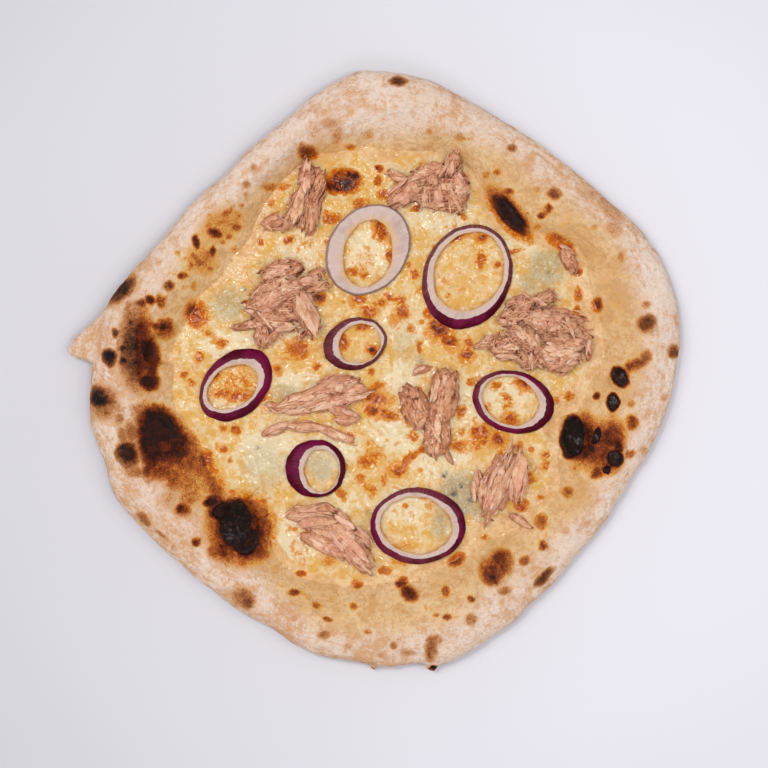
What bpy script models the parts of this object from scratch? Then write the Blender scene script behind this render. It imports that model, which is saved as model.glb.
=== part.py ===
"""Whole baked pizza with tuna, red onion rings and melted cheese, lying flat.

The part is in metres, +Z up, with its origin under the middle of the crust. The tables are in
millimetres and degrees, seen from above: x to the right, y up, angles anticlockwise from +X.
"""

import math

import bmesh
import bpy
import numpy as np
from mathutils import Matrix, Vector, noise
from mathutils.bvhtree import BVHTree

# Driving dimensions
MM = 0.001
GAP = 0.3
DOUGH = 3.6
CHEESE = 2.8
CHEESE_INSET = 0.8
ONION = 3.4
CRUST_STEPS = 96
CHEESE_STEPS = 72
ONION_STEPS = 28
TUNA_SEED = 11

# Outer edge of the crust: degrees, radius
EDGE = (
    (0, 160.5), (8, 163.6), (16, 164.6), (24, 162.4), (32, 157.4), (40, 152.0), (48, 150.0),
    (57, 149.4), (66, 150.9), (73, 153.6), (79, 157.6), (86, 159.2), (93, 160.3), (98, 155.2),
    (104, 148.4), (110, 141.4), (119, 135.8), (128, 131.3), (137, 132.2), (146, 132.8),
    (153, 135.4), (159, 141.0), (166, 146.2), (173, 148.8), (182, 151.0), (190, 153.4),
    (198, 150.8), (206, 152.9), (213, 149.2), (221, 145.6), (231, 144.8), (241, 145.4),
    (249, 147.0), (256, 151.8), (264, 154.0), (272, 156.6), (278, 156.0), (283, 159.0),
    (290, 156.0), (298, 152.0), (305, 148.0), (313, 145.6), (322, 145.0), (331, 146.4),
    (338, 147.6), (344, 151.8), (352, 156.0),
)

# Foot of the rim, where the melted cheese stops: degrees, radius
FOOT = (
    (5, 119.5), (18, 120.5), (30, 124.0), (37, 118.5), (43, 106.5), (50, 103.0), (57, 107.5),
    (65, 117.0), (74, 119.5), (84, 117.5), (99, 118.0), (108, 117.0), (115, 112.0), (123, 106.0),
    (131, 97.0), (139, 94.7), (148, 94.8), (158, 100.0), (168, 102.5), (182, 104.8), (192, 104.4),
    (201, 99.5), (211, 99.2), (219, 100.0), (227, 90.5), (234, 91.5), (241, 108.0), (250, 113.5),
    (262, 113.0), (276, 110.0), (289, 107.5), (302, 105.5), (315, 111.0), (327, 113.5),
    (335, 105.5), (343, 101.0), (351, 107.5),
)

# Height of the rim's crest: degrees, height
CREST = (
    (0, 13.5), (28, 12.0), (55, 11.5), (85, 17.0), (105, 16.5), (128, 14.5), (150, 16.0),
    (178, 17.5), (205, 15.5), (230, 14.5), (262, 15.0), (288, 13.5), (322, 11.0), (345, 12.5),
)

# Section of the rim from its flat foot underneath, out round the edge and in to the cheese:
# share of the rim's width inwards, share of the crest's height
RIM_PATH = (
    (0.30, 0.0), (0.17, 0.05), (0.08, 0.15), (0.02, 0.32), (0.0, 0.5), (0.02, 0.67),
    (0.07, 0.82), (0.15, 0.93), (0.26, 0.99), (0.38, 1.0), (0.5, 0.92), (0.62, 0.75),
    (0.74, 0.52), (0.85, 0.29), (0.94, 0.1), (1.0, 0.0),
)
CREST_ROW = 9

# Section of the cheese from the edge of its underside to its middle: share of its radius,
# share of its thickness
CHEESE_PATH = (
    (1.0, 0.0), (1.0, 0.2), (0.985, 0.5), (0.95, 0.8), (0.88, 1.0), (0.78, 1.0), (0.66, 1.0),
    (0.54, 1.0), (0.42, 1.0), (0.29, 1.0), (0.15, 1.0),
)

# Swells of the rim and of the cheese: width of one swell, height
RIM_SWELL = (26, 1.5)
CHEESE_SWELL = (19, 0.9)
CHEESE_BUBBLES = ((-17, 101, 10, 2.4), (-55, -52, 9, 1.2), (59, -36, 8, 1.1), (12, 20, 10, 1.0))

# Charred blisters of the crust: x, y, half length, half width, turn, rise
BLISTERS = (
    (-70.9, -82.5, 14, 12, 80, 5.5), (106.1, -34.3, 12.5, 7.4, 100, 5.0),
    (71.9, 84.2, 17, 4.6, -49, 2.6), (-119.4, -5.1, 5.2, 5.2, 0, 3.0),
    (-120.1, 12.4, 8, 5.5, 95, 3.0), (-145.6, -13.6, 6, 6, 0, 3.0),
    (-130.2, -43.3, 6.6, 6.2, 0, 3.0), (-111.2, 23, 6, 5.4, 0, 2.4),
    (-133.4, 42.6, 9, 4.4, 45, 2.8), (-110, -32, 12, 10, 60, 2.6),
    (126.8, -43.3, 8, 6, 70, 3.6), (129.5, -2.5, 7, 4.6, 60, 3.0),
    (143.8, 25.6, 5.6, 5.4, 0, 2.4), (64.5, -103.5, 10, 8.6, 45, 3.2),
    (18.4, -117.4, 5.4, 4.2, 0, 2.6),
)

# Thin tongues of dough at the edge: root x, y, tip x, y, half width at root and tip, thickness, height
TONGUES = (
    (-136, 23, -162.6, 11.5, 12.5, 3.0, 6.5, 8.0),
    (32, -149, 32.2, -160.3, 3.4, 1.8, 4.5, 5.0),
    (-1, -151, -1, -159.4, 3.6, 1.4, 3.4, 4.5),
)

# Onion rings, each as the ovals of its outer foot, its skin's top edge and its hole:
# lowest x, highest x, lowest y, highest y, and the lean of the oval
ONION_RINGS = (
    ((-26.3, 19.0, 41.0, 89.5, 12), (-25.0, 17.9, 42.0, 88.4, 12), (-16.8, 9.4, 45.1, 80.7, 9)),
    ((25.0, 73.1, 23.0, 78.8, 9), (27.5, 70.9, 28.1, 76.7, 9), (31.1, 68.7, 32.5, 74.4, 9)),
    ((-27.4, 6.4, 1.1, 29.2, 8), (-22.4, 4.8, 3.9, 27.3, 8), (-18.9, 3.3, 4.7, 25.7, 6)),
    ((-93.2, -54.4, -26.1, 12.9, 18), (-91.1, -58.5, -21.5, 7.4, 21), (-89.1, -62.0, -19.8, 3.9, 18)),
    ((51.9, 95.1, -32.7, 1.2, -9), (55.2, 90.7, -29.9, -0.8, -10), (56.9, 86.8, -28.0, -2.2, -9)),
    ((-47.4, -15.3, -66.6, -35.6, 0), (-40.1, -18.3, -64.5, -38.6, 0), (-37.5, -19.2, -63.4, -40.8, 0)),
    ((-2.5, 48.3, -101.9, -61.3, 0), (0.3, 44.6, -98.8, -64.1, -4), (2.9, 41.1, -96.1, -66.2, -5)),
)

# Section of an onion ring, from its inner foot outwards and up to its hole:
# oval walked from, oval walked to, share of the way, share of the height
ONION_SECTION = ((2, 0, 0.35, 0.0), (0, 0, 0.0, 0.0), (0, 1, 0.35, 0.55), (1, 1, 0.0, 1.0), (2, 2, 0.0, 1.0))

# Tuna: each node's lobes as x, y, length, width, direction of the grain, height
TUNA = (
    (
        (-37, 102, 24, 9, -93, 8), (-40, 88, 24, 10.1, -103, 7), (-31.5, 96, 25, 7, -98, 6),
        (-35, 81, 17, 6, -102, 5),
    ),
    ((-53.5, 79.5, 14, 8.5, 5, 5),),
    (
        (16, 96, 22, 12.2, 38, 7), (13.5, 103, 17, 5, -25, 4), (29, 106.5, 20, 9, 11, 6),
        (29, 98, 22, 9, -109, 8), (41, 110, 16, 9, -113, 10), (44, 96, 22, 11.7, -93, 8),
        (37, 88, 20, 5.8, -7, 5),
    ),
    (
        (-49, 54, 23, 11.7, 10, 8), (-55, 41, 28, 17, 32, 10), (-40, 46, 21, 6.4, 21, 10),
        (-31, 52, 11, 5.8, 24, 6), (-31, 45, 16, 4.8, 11, 5), (-37, 32, 26, 12, -68, 9),
        (-67, 25, 18, 5.3, 10, 5), (-53, 27, 22, 9, -21, 8), (-60, 19, 13, 8, -84, 5),
        (-54, 19, 12, 4.2, -120, 5), (-37, 21, 11, 3.2, 40, 4),
    ),
    (
        (74, 36.5, 9, 6, 14, 6), (79, 36, 12, 10.6, 3, 9), (90, 39, 13, 8, 17, 8),
        (72, 29, 13, 9, 17, 8), (92, 26, 34, 13.8, -9, 13), (80, 18, 22, 10.6, -25, 13),
        (61, 16, 16, 5.8, 18, 5), (70, 13, 18, 13, 5, 7), (80, 7, 12, 10.1, -60, 9),
        (97, 9, 24, 19, -9, 10), (113, 14, 16, 4.2, -83, 5), (106, 16, 13, 9.5, 6, 8),
    ),
    (
        (-32, -12, 49, 9, 20, 8), (-22, -15.5, 40, 7, 13, 6), (-22, -4, 19, 4.2, 12, 6),
        (-15, -24, 13, 8.5, 0, 6), (-19, -20, 12, 6.4, -13, 5), (-54, -18, 9, 4.2, -18, 4),
    ),
    (
        (-52, -30, 16, 5.8, 21, 4), (-38, -29, 22, 5.8, -3, 4), (-21, -33, 22, 5.8, -21, 4),
    ),
    (
        (38, -12, 33, 14.3, -97, 9), (23, -18, 26, 15, -71, 8), (33, -34, 20, 14.3, -93, 7),
        (39, -45, 9, 3.2, -67, 4),
    ),
    ((25, 1, 10, 4.2, 15, 4),),
    (
        (65, -61, 41, 12, 69, 9), (76, -56, 27, 10, 83, 8), (54, -59, 15, 4.8, 80, 5),
        (58, -60, 14, 5.8, 76, 6),
    ),
    ((77, -79, 14, 4.8, -33, 4),),
    (
        (-38, -75, 20, 9, 7, 6), (-28, -73, 13, 8, -8, 6), (-16, -79, 14, 6, -62, 5),
        (-29, -80, 25, 8.5, -1, 7), (-13, -92, 38, 13.8, -52, 8), (-26, -92, 30, 9.5, -25, 6),
        (-6, -88, 12, 6.4, -45, 6),
    ),
    ((103, 60, 15, 8.5, -61, 5),),
)

# The flakes on a wide tuna lobe: least width of the lobe, width of one flake, share of the lobe's length
FLAKED_LOBE = 8.6
FLAKE_WIDTH = 6.5
FLAKE_LENGTH = (0.6, 0.9)
FLAKE_SIDES = 5
CORE_SIDES = 6
LOBE_ROWS = 3

# Each material's colour, roughness and metallic value
FINISHES = {
    "crust": ((0.62, 0.44, 0.27), 0.75, 0.0),
    "cheese": ((0.85, 0.68, 0.36), 0.3, 0.0),
    "onion": ((0.20, 0.02, 0.06), 0.35, 0.0),
    "tuna": ((0.56, 0.31, 0.21), 0.55, 0.0),
}


def around(table, degrees):
    """Read the smooth closed curve through (degrees, value) pairs."""
    at, value = np.array(table, float).T
    at = np.concatenate((at[-2:] - 360, at, at[:2] + 360))
    value = np.concatenate((value[-2:], value, value[:2]))
    slope = np.gradient(value, at)
    degrees = np.mod(degrees - at[0], 360) + at[0]
    start = np.clip(np.searchsorted(at, degrees, side="right") - 1, 0, len(at) - 2)
    span = at[start + 1] - at[start]
    t = (degrees - at[start]) / span
    ends = value[start] + (3 - 2 * t) * t * t * (value[start + 1] - value[start])
    bend = (t - 2 * t * t + t**3) * slope[start] + (t**3 - t * t) * slope[start + 1]
    return ends + span * bend


def swell(x, y, kind):
    """A low uneven swell, in millimetres, the same each time at one place."""
    width, height = kind
    return height * noise.noise(Vector((x / width, y / width, width)))


def make_material(name):
    colour, roughness, metallic = FINISHES[name]
    material = bpy.data.materials.new(name)
    material.use_nodes = True
    shader = material.node_tree.nodes["Principled BSDF"]
    shader.inputs["Base Color"].default_value = (*colour, 1)
    shader.inputs["Roughness"].default_value = roughness
    shader.inputs["Metallic"].default_value = metallic
    return material


def add_object(name, bm, material=None):
    """Put a bmesh in millimetres into the scene as an object in metres."""
    bmesh.ops.scale(bm, vec=(MM, MM, MM), verts=bm.verts)
    mesh = bpy.data.meshes.new(name)
    bm.to_mesh(mesh)
    bm.free()
    body = bpy.data.objects.new(name, mesh)
    bpy.context.scene.collection.objects.link(body)
    if material:
        mesh.materials.append(material)
    return body


def polar_body(steps, rows, place):
    """A closed ball of steps by rows whose points are moved to place(row, degrees)."""
    bm = bmesh.new()
    bmesh.ops.create_uvsphere(bm, u_segments=steps, v_segments=rows + 1, radius=1)
    for vert in bm.verts:
        fall = math.acos(max(-1, min(1, -vert.co.z)))
        row = round(fall / math.pi * (rows + 1))
        vert.co = place(row, math.degrees(math.atan2(vert.co.y, vert.co.x)))
    return bm


def crust_point(row, degrees):
    if row == 0:
        return Vector((0, 0, 0))
    if row > len(RIM_PATH):
        return Vector((0, 0, DOUGH))
    inward, rise = RIM_PATH[row - 1]
    outer = around(EDGE, degrees)
    radius = outer - inward * (outer - around(FOOT, degrees))
    turn = math.radians(degrees)
    x = radius * math.cos(turn)
    y = radius * math.sin(turn)
    low = DOUGH if row - 1 > CREST_ROW else 0
    height = low + (around(CREST, degrees) - low) * rise
    return Vector((x, y, height + rise * swell(x, y, RIM_SWELL)))


def cheese_thickness(x, y):
    thickness = CHEESE + swell(x, y, CHEESE_SWELL)
    for bubble_x, bubble_y, width, rise in CHEESE_BUBBLES:
        away = math.hypot(x - bubble_x, y - bubble_y) / width
        thickness += rise * max(0, 1 - away * away)
    return thickness


def cheese_point(row, degrees):
    if row == 0:
        return Vector((0, 0, DOUGH + GAP))
    out, full = CHEESE_PATH[row - 1] if row <= len(CHEESE_PATH) else (0, 1)
    radius = out * (around(FOOT, degrees) - CHEESE_INSET)
    turn = math.radians(degrees)
    x = radius * math.cos(turn)
    y = radius * math.sin(turn)
    return Vector((x, y, DOUGH + GAP + full * cheese_thickness(x, y)))


def ball(sides, rows, half_sizes, place):
    """A flattened ball with its grain along its own X, at a 4x4 matrix."""
    bm = bmesh.new()
    bmesh.ops.create_uvsphere(bm, u_segments=sides, v_segments=rows + 1, radius=1)
    bmesh.ops.rotate(bm, matrix=Matrix.Rotation(math.pi / 2, 3, "Y"), verts=bm.verts)
    bmesh.ops.scale(bm, vec=half_sizes, verts=bm.verts)
    bmesh.ops.transform(bm, matrix=place, verts=bm.verts)
    return bm


def placed(x, y, z, degrees):
    return Matrix.Translation((x, y, z)) @ Matrix.Rotation(math.radians(degrees), 4, "Z")


def surface(*bodies):
    """The height in millimetres of the highest of these bodies under a point."""
    bpy.context.view_layer.update()
    graph = bpy.context.evaluated_depsgraph_get()
    trees = [BVHTree.FromObject(body, graph) for body in bodies]

    def height(x, y):
        start = Vector((x * MM, y * MM, 1))
        hits = [tree.ray_cast(start, Vector((0, 0, -1)))[0] for tree in trees]
        found = [hit.z / MM for hit in hits if hit is not None]
        return max(found) if found else 0.0

    return height


def fuse(body, helpers):
    """Join the helpers to the body with one union, and remove them."""
    group = bpy.data.collections.new("pieces of " + body.name)
    bpy.context.scene.collection.children.link(group)
    for helper in helpers:
        bpy.context.scene.collection.objects.unlink(helper)
        group.objects.link(helper)
    union = body.modifiers.new("union", "BOOLEAN")
    union.operation = "UNION"
    union.operand_type = "COLLECTION"
    union.collection = group
    union.solver = "EXACT"
    graph = bpy.context.evaluated_depsgraph_get()
    joined = bpy.data.meshes.new_from_object(body.evaluated_get(graph))
    body.modifiers.clear()
    body.data = joined
    for helper in helpers:
        bpy.data.objects.remove(helper)
    bpy.data.collections.remove(group)


def make_crust(material):
    crust = add_object("crust", polar_body(CRUST_STEPS, len(RIM_PATH), crust_point), material)
    height = surface(crust)
    helpers = []
    for x, y, half_length, half_width, turn, rise in BLISTERS:
        place = placed(x, y, height(x, y) - 0.2 * rise, turn)
        half_sizes = (half_length, half_width, 1.2 * rise)
        helpers.append(add_object("blister", ball(8, 3, half_sizes, place)))
    for root_x, root_y, tip_x, tip_y, root, tip, thickness, at in TONGUES:
        length = math.hypot(tip_x - root_x, tip_y - root_y)
        bm = bmesh.new()
        bmesh.ops.create_cone(bm, cap_ends=True, segments=8, radius1=root, radius2=tip, depth=length)
        bmesh.ops.rotate(bm, matrix=Matrix.Rotation(math.pi / 2, 3, "Y"), verts=bm.verts)
        bmesh.ops.scale(bm, vec=(1, 1, thickness / (2 * root)), verts=bm.verts)
        turn = math.degrees(math.atan2(tip_y - root_y, tip_x - root_x))
        place = placed((root_x + tip_x) / 2, (root_y + tip_y) / 2, at, turn)
        bmesh.ops.transform(bm, matrix=place, verts=bm.verts)
        helpers.append(add_object("tongue", bm))
    fuse(crust, helpers)
    return crust


def oval_point(oval, degrees):
    low_x, high_x, low_y, high_y, lean = oval
    x = (low_x + high_x) / 2 + (high_x - low_x) / 2 * math.cos(math.radians(degrees))
    y = (low_y + high_y) / 2 + (high_y - low_y) / 2 * math.sin(math.radians(degrees + lean))
    return Vector((x, y, 0))


def rest_height(height, x, y, reach):
    """The height that clears the surface everywhere within reach of a point."""
    near = [(x, y)]
    near += [(x + reach * math.cos(a), y + reach * math.sin(a)) for a in np.arange(8) * math.pi / 4]
    return max(height(*point) for point in near) + GAP


def make_onion_ring(number, ovals, height, material):
    bm = bmesh.new()
    corner = bm.verts.layers.int.new("corner")
    loop = []
    for index in range(len(ONION_SECTION)):
        turn = 2 * math.pi * index / len(ONION_SECTION)
        vert = bm.verts.new((10 + math.cos(turn), 0, math.sin(turn)))
        vert[corner] = index
        loop.append(vert)
    edges = [bm.edges.new((loop[i - 1], loop[i])) for i in range(len(loop))]
    bmesh.ops.spin(
        bm, geom=loop + edges, cent=(0, 0, 0), axis=(0, 0, 1), angle=2 * math.pi,
        steps=ONION_STEPS, use_merge=True,
    )
    for vert in bm.verts:
        degrees = math.degrees(math.atan2(vert.co.y, vert.co.x))
        start, end, share, up = ONION_SECTION[vert[corner]]
        place = oval_point(ovals[start], degrees).lerp(oval_point(ovals[end], degrees), share)
        middle = oval_point(ovals[1], degrees)
        place.z = rest_height(height, middle.x, middle.y, 4.0) + up * ONION
        vert.co = place
    if bm.calc_volume(signed=True) < 0:
        bmesh.ops.reverse_faces(bm, faces=bm.faces)
    add_object(f"onion_ring_{number}", bm, material)


def lobe_pieces(lobe, draw):
    """The core of one lobe and the flakes along it, on a floor at height 0."""
    x, y, length, width, grain, height = lobe
    half_sizes = (0.5 * length, 0.5 * width, 0.6 * height)
    pieces = [ball(CORE_SIDES, LOBE_ROWS, half_sizes, placed(x, y, 0.25 * height, grain))]
    count = round(width / FLAKE_WIDTH) if width >= FLAKED_LOBE else 0
    turn = math.radians(grain)
    for index in range(count):
        side = ((index + 0.5) / count - 0.5) * width * 0.8
        flake_length = length * draw.uniform(*FLAKE_LENGTH)
        slide = (length - flake_length) * draw.uniform(-0.5, 0.5)
        flake_x = x + slide * math.cos(turn) - side * math.sin(turn)
        flake_y = y + slide * math.sin(turn) + side * math.cos(turn)
        crown = 1 - (2 * side / width) ** 2
        half_sizes = (flake_length / 2, 0.5 * width / count, 0.36 * height)
        place = placed(flake_x, flake_y, height * (0.24 + 0.4 * crown), grain + draw.uniform(-9, 9))
        pieces.append(ball(FLAKE_SIDES, LOBE_ROWS, half_sizes, place))
    return pieces


def seat_on(body, height):
    """Cut the clump flat underneath and lift it onto the surface, tilted as the surface is."""
    bm = bmesh.new()
    bm.from_mesh(body.data)
    geometry = bm.verts[:] + bm.edges[:] + bm.faces[:]
    floor = 0.2 * MM
    cut = bmesh.ops.bisect_plane(bm, geom=geometry, plane_co=(0, 0, floor), plane_no=(0, 0, 1), clear_inner=True)
    rims = [item for item in cut["geom_cut"] if isinstance(item, bmesh.types.BMEdge)]
    bmesh.ops.holes_fill(bm, edges=rims)
    bmesh.ops.remove_doubles(bm, verts=bm.verts, dist=0.02 * MM)
    spots = np.array([(v.co.x / MM, v.co.y / MM) for v in bm.verts])
    rise = np.array([height(x, y) for x, y in spots])
    lean = np.column_stack((spots, np.ones(len(spots))))
    slope = np.linalg.lstsq(lean, rise, rcond=None)[0]
    lift = GAP + 0.1 + float(np.max(rise - lean @ slope))
    for vert, spot in zip(bm.verts, lean):
        vert.co.z += (float(spot @ slope) + lift) * MM - floor
    bmesh.ops.triangulate(bm, faces=bm.faces)
    bmesh.ops.recalc_face_normals(bm, faces=bm.faces)
    bm.to_mesh(body.data)
    bm.free()


def make_tuna(number, lobes, height, material):
    draw = np.random.default_rng(TUNA_SEED + number)
    pieces = [add_object("flake", bm) for lobe in lobes for bm in lobe_pieces(lobe, draw)]
    clump = pieces[0]
    clump.name = f"tuna_flakes_{number}"
    clump.data.materials.append(material)
    fuse(clump, pieces[1:])
    seat_on(clump, height)


def main():
    for body in list(bpy.data.objects):
        bpy.data.objects.remove(body)
    materials = {name: make_material(name) for name in FINISHES}
    crust = make_crust(materials["crust"])
    sheet = polar_body(CHEESE_STEPS, len(CHEESE_PATH), cheese_point)
    cheese = add_object("melted_cheese", sheet, materials["cheese"])
    height = surface(crust, cheese)
    for number, ovals in enumerate(ONION_RINGS, 1):
        make_onion_ring(number, ovals, height, materials["onion"])
    for number, lobes in enumerate(TUNA, 1):
        make_tuna(number, lobes, height, materials["tuna"])
    for body in bpy.data.objects:
        body.data.shade_smooth()
        body.data.set_sharp_from_angle(angle=math.radians(35))


main()
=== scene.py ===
"""The looks of a whole baked pizza with tuna, red onion rings and melted cheese.

Shapes are worked out in millimetres and written in metres, +Z up. Spots on the baked surface are
placed by photo pixels: x to the right, y down, PIXEL millimetres each, from PHOTO_MIDDLE.
"""

import math

import bmesh
import bpy
import numpy as np
from bpy.props import FloatProperty, FloatVectorProperty, IntProperty, PointerProperty
from mathutils import Matrix, Vector, noise
from mathutils.bvhtree import BVHTree


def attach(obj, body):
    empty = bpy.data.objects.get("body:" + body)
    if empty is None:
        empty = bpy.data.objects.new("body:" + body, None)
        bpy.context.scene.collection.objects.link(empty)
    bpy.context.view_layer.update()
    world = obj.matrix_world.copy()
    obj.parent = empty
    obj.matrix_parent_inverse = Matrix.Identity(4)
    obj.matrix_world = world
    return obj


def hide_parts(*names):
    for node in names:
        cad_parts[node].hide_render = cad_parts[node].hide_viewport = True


bl_info = {
    "name": "Tuna pizza",
    "version": (1, 0, 0),
    "blender": (4, 5, 0),
    "location": "View3D > Sidebar > Pizza",
    "description": "Makes a baked pizza with cheese, onion rings and tuna",
    "category": "Object",
}

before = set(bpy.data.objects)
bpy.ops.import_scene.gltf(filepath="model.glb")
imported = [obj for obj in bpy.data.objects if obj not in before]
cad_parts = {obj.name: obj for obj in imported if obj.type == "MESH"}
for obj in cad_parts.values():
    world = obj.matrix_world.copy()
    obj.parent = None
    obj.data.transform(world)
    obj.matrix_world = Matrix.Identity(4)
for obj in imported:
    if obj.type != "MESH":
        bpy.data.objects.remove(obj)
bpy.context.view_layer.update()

MM = 0.001
PIXEL = 0.53
PHOTO_MIDDLE = (374.75, 372.3)

# Depth of colour from which a spot counts as charred, and at which it does so fully
CHAR_FROM = 0.9
CHAR_FULL = 1.2

# Thickness of the dough's middle, the gap over it, the cheese and the onion rings
DOUGH = 3.6
GAP = 0.3
CHEESE = 2.8
ONION = 3.4

# Outer edge of the crust: degrees, radius
EDGE = (
    (0, 160.5), (8, 163.6), (16, 164.6), (24, 162.4), (32, 157.4), (40, 152.0), (48, 150.0), (57, 149.4),
    (66, 150.9), (73, 153.6), (79, 157.6), (86, 159.2), (93, 160.3), (98, 155.2), (104, 148.4),
    (110, 141.4), (119, 135.8), (128, 131.3), (137, 132.2), (146, 132.8), (153, 135.4), (159, 141.0),
    (166, 146.2), (173, 148.8), (182, 151.0), (190, 153.4), (198, 150.8), (206, 152.9), (213, 149.2),
    (221, 145.6), (231, 144.8), (241, 145.4), (249, 147.0), (256, 151.8), (264, 154.0), (272, 156.6),
    (278, 156.0), (283, 159.0), (290, 156.0), (298, 152.0), (305, 148.0), (313, 145.6), (322, 145.0),
    (331, 146.4), (338, 147.6), (344, 151.8), (352, 156.0),
)

# Foot of the rim, where the melted cheese stops: degrees, radius
FOOT = (
    (5, 119.5), (18, 120.5), (30, 124.0), (37, 118.5), (43, 106.5), (50, 103.0), (57, 107.5), (65, 117.0),
    (74, 119.5), (84, 117.5), (99, 118.0), (108, 117.0), (115, 112.0), (123, 106.0), (131, 97.0),
    (139, 94.7), (148, 94.8), (158, 100.0), (168, 102.5), (182, 104.8), (192, 104.4), (201, 99.5),
    (211, 99.2), (219, 100.0), (227, 90.5), (234, 91.5), (241, 108.0), (250, 113.5), (262, 113.0),
    (276, 110.0), (289, 107.5), (302, 105.5), (315, 111.0), (327, 113.5), (335, 105.5), (343, 101.0),
    (351, 107.5),
)

# Height of the rim's crest: degrees, height
CREST = (
    (0, 13.5), (28, 12.0), (55, 11.5), (85, 17.0), (105, 16.5), (128, 14.5), (150, 16.0), (178, 17.5),
    (205, 15.5), (230, 14.5), (262, 15.0), (288, 13.5), (322, 11.0), (345, 12.5),
)

# How far the oil has soaked up the rim from the cheese: degrees, share of the rim's width
OIL_REACH = (
    (0, 0.55), (18, 0.5), (35, 0.58), (60, 0.52), (80, 0.24), (105, 0.2), (130, 0.35), (142, 0.5),
    (153, 0.55), (163, 0.3), (180, 0.26), (215, 0.3), (240, 0.34), (262, 0.55), (290, 0.55), (315, 0.5),
    (340, 0.62),
)

# How tanned the dry rim is, partly real browning and partly painted shade that darkens its left side:
# degrees, share
TANNED_AND_SHADED = (
    (0, 0.1), (22, 0.0), (38, 0.6), (52, 0.55), (70, 0.3), (90, 0.15), (130, 0.25), (165, 0.6),
    (185, 0.65), (215, 0.4), (240, 0.4), (265, 0.5), (290, 0.45), (320, 0.15),
)

# How wide the oily edge of the cheese is: degrees, share of its radius
THIN_CHEESE = (
    (0, 0.16), (45, 0.13), (90, 0.09), (135, 0.16), (165, 0.05), (180, 0.03), (215, 0.05), (270, 0.13),
    (315, 0.17),
)

# Section of the rim from its flat foot underneath, out round the edge and in to the cheese:
# share of the rim's width inwards, share of the crest's height
RIM_PATH = (
    (0.30, 0.0), (0.17, 0.05), (0.08, 0.15), (0.02, 0.32), (0.0, 0.5), (0.02, 0.67), (0.07, 0.82),
    (0.15, 0.93), (0.26, 0.99), (0.38, 1.0), (0.5, 0.92), (0.62, 0.75), (0.74, 0.52), (0.85, 0.29),
    (0.94, 0.1), (1.0, 0.0),
)

# Numbers of the section's points that lie furthest out and on the crest
WIDEST_ROW = 4
CREST_ROW = 9

# Swells and lumps of the rim and of the cheese, and how far the outlines of spots stray to the
# right and ahead: each ripple's height, width and layer of the noise
RIM_SWELL = ((1.5, 26, 26),)
RIM_LUMPS = ((1.5, 16, 1.7), (0.9, 7, 2.6))
RIM_CROSS_LUMPS = ((0.4, 3, 3.5),)
CHEESE_SWELL = ((0.9, 19, 19),)
CHEESE_LUMPS = ((1.5, 8.5, 1.3), (0.8, 4, 2.3), (0.4, 1.9, 3.3))
STRAY_RIGHT = ((1.1, 6.5, 3.1), (0.6, 2.4, 5.2))
STRAY_AHEAD = ((1.1, 6.5, 8.3), (0.6, 2.4, 9.4))

# Bubbles of the cheese: x, y, half width, rise
CHEESE_BUBBLES = ((-17, 101, 10, 2.4), (-55, -52, 9, 1.2), (59, -36, 8, 1.1), (12, 20, 10, 1.0))

# Charred blisters of the crust: x, y, half length, half width, turn, rise
BLISTERS = (
    (-71.9, -81.0, 12.5, 9.5, 80, 5.5), (106.1, -34.3, 12.5, 7.4, 100, 5.0),
    (71.9, 84.2, 17, 4.6, -49, 2.6), (-119.4, -5.1, 5.2, 5.2, 0, 3.0), (-120.1, 12.4, 8, 5.5, 95, 3.0),
    (-145.6, -13.6, 6, 6, 0, 3.0), (-130.2, -43.3, 6.6, 6.2, 0, 3.0), (-111.2, 23, 6, 5.4, 0, 2.4),
    (-133.4, 42.6, 9, 4.4, 45, 2.8), (-110, -32, 12, 10, 60, 2.6), (126.8, -43.3, 8, 6, 70, 3.6),
    (129.5, -2.5, 7, 4.6, 60, 3.0), (143.8, 25.6, 5.6, 5.4, 0, 2.4), (64.5, -103.5, 10, 8.6, 45, 3.2),
    (18.4, -117.4, 5.4, 4.2, 0, 2.6), (117.3, -33.8, 5, 3.2, 90, 1.6), (126.3, -15.7, 4.8, 3.6, 90, 1.4),
    (-35.9, 117.8, 5.4, 3.8, 0, 1.2),
)

# Thin tongues of dough pushed out of the edge: degrees, push, each with its height and half thickness
TONGUES = (
    (
        ((166, 0), (169, 2.5), (171, 6), (174, 12), (175.5, 14), (176.8, 12.5), (177.4, 6.5), (178, 0)),
        8.0, 3.4,
    ),
    (((268.6, 0), (269.4, 3), (270, 3.4), (270.8, 0)), 4.5, 2.0),
    (((279.2, 0), (280.2, 4), (281.2, 4.6), (282.6, 0)), 5.0, 2.4),
)

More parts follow.
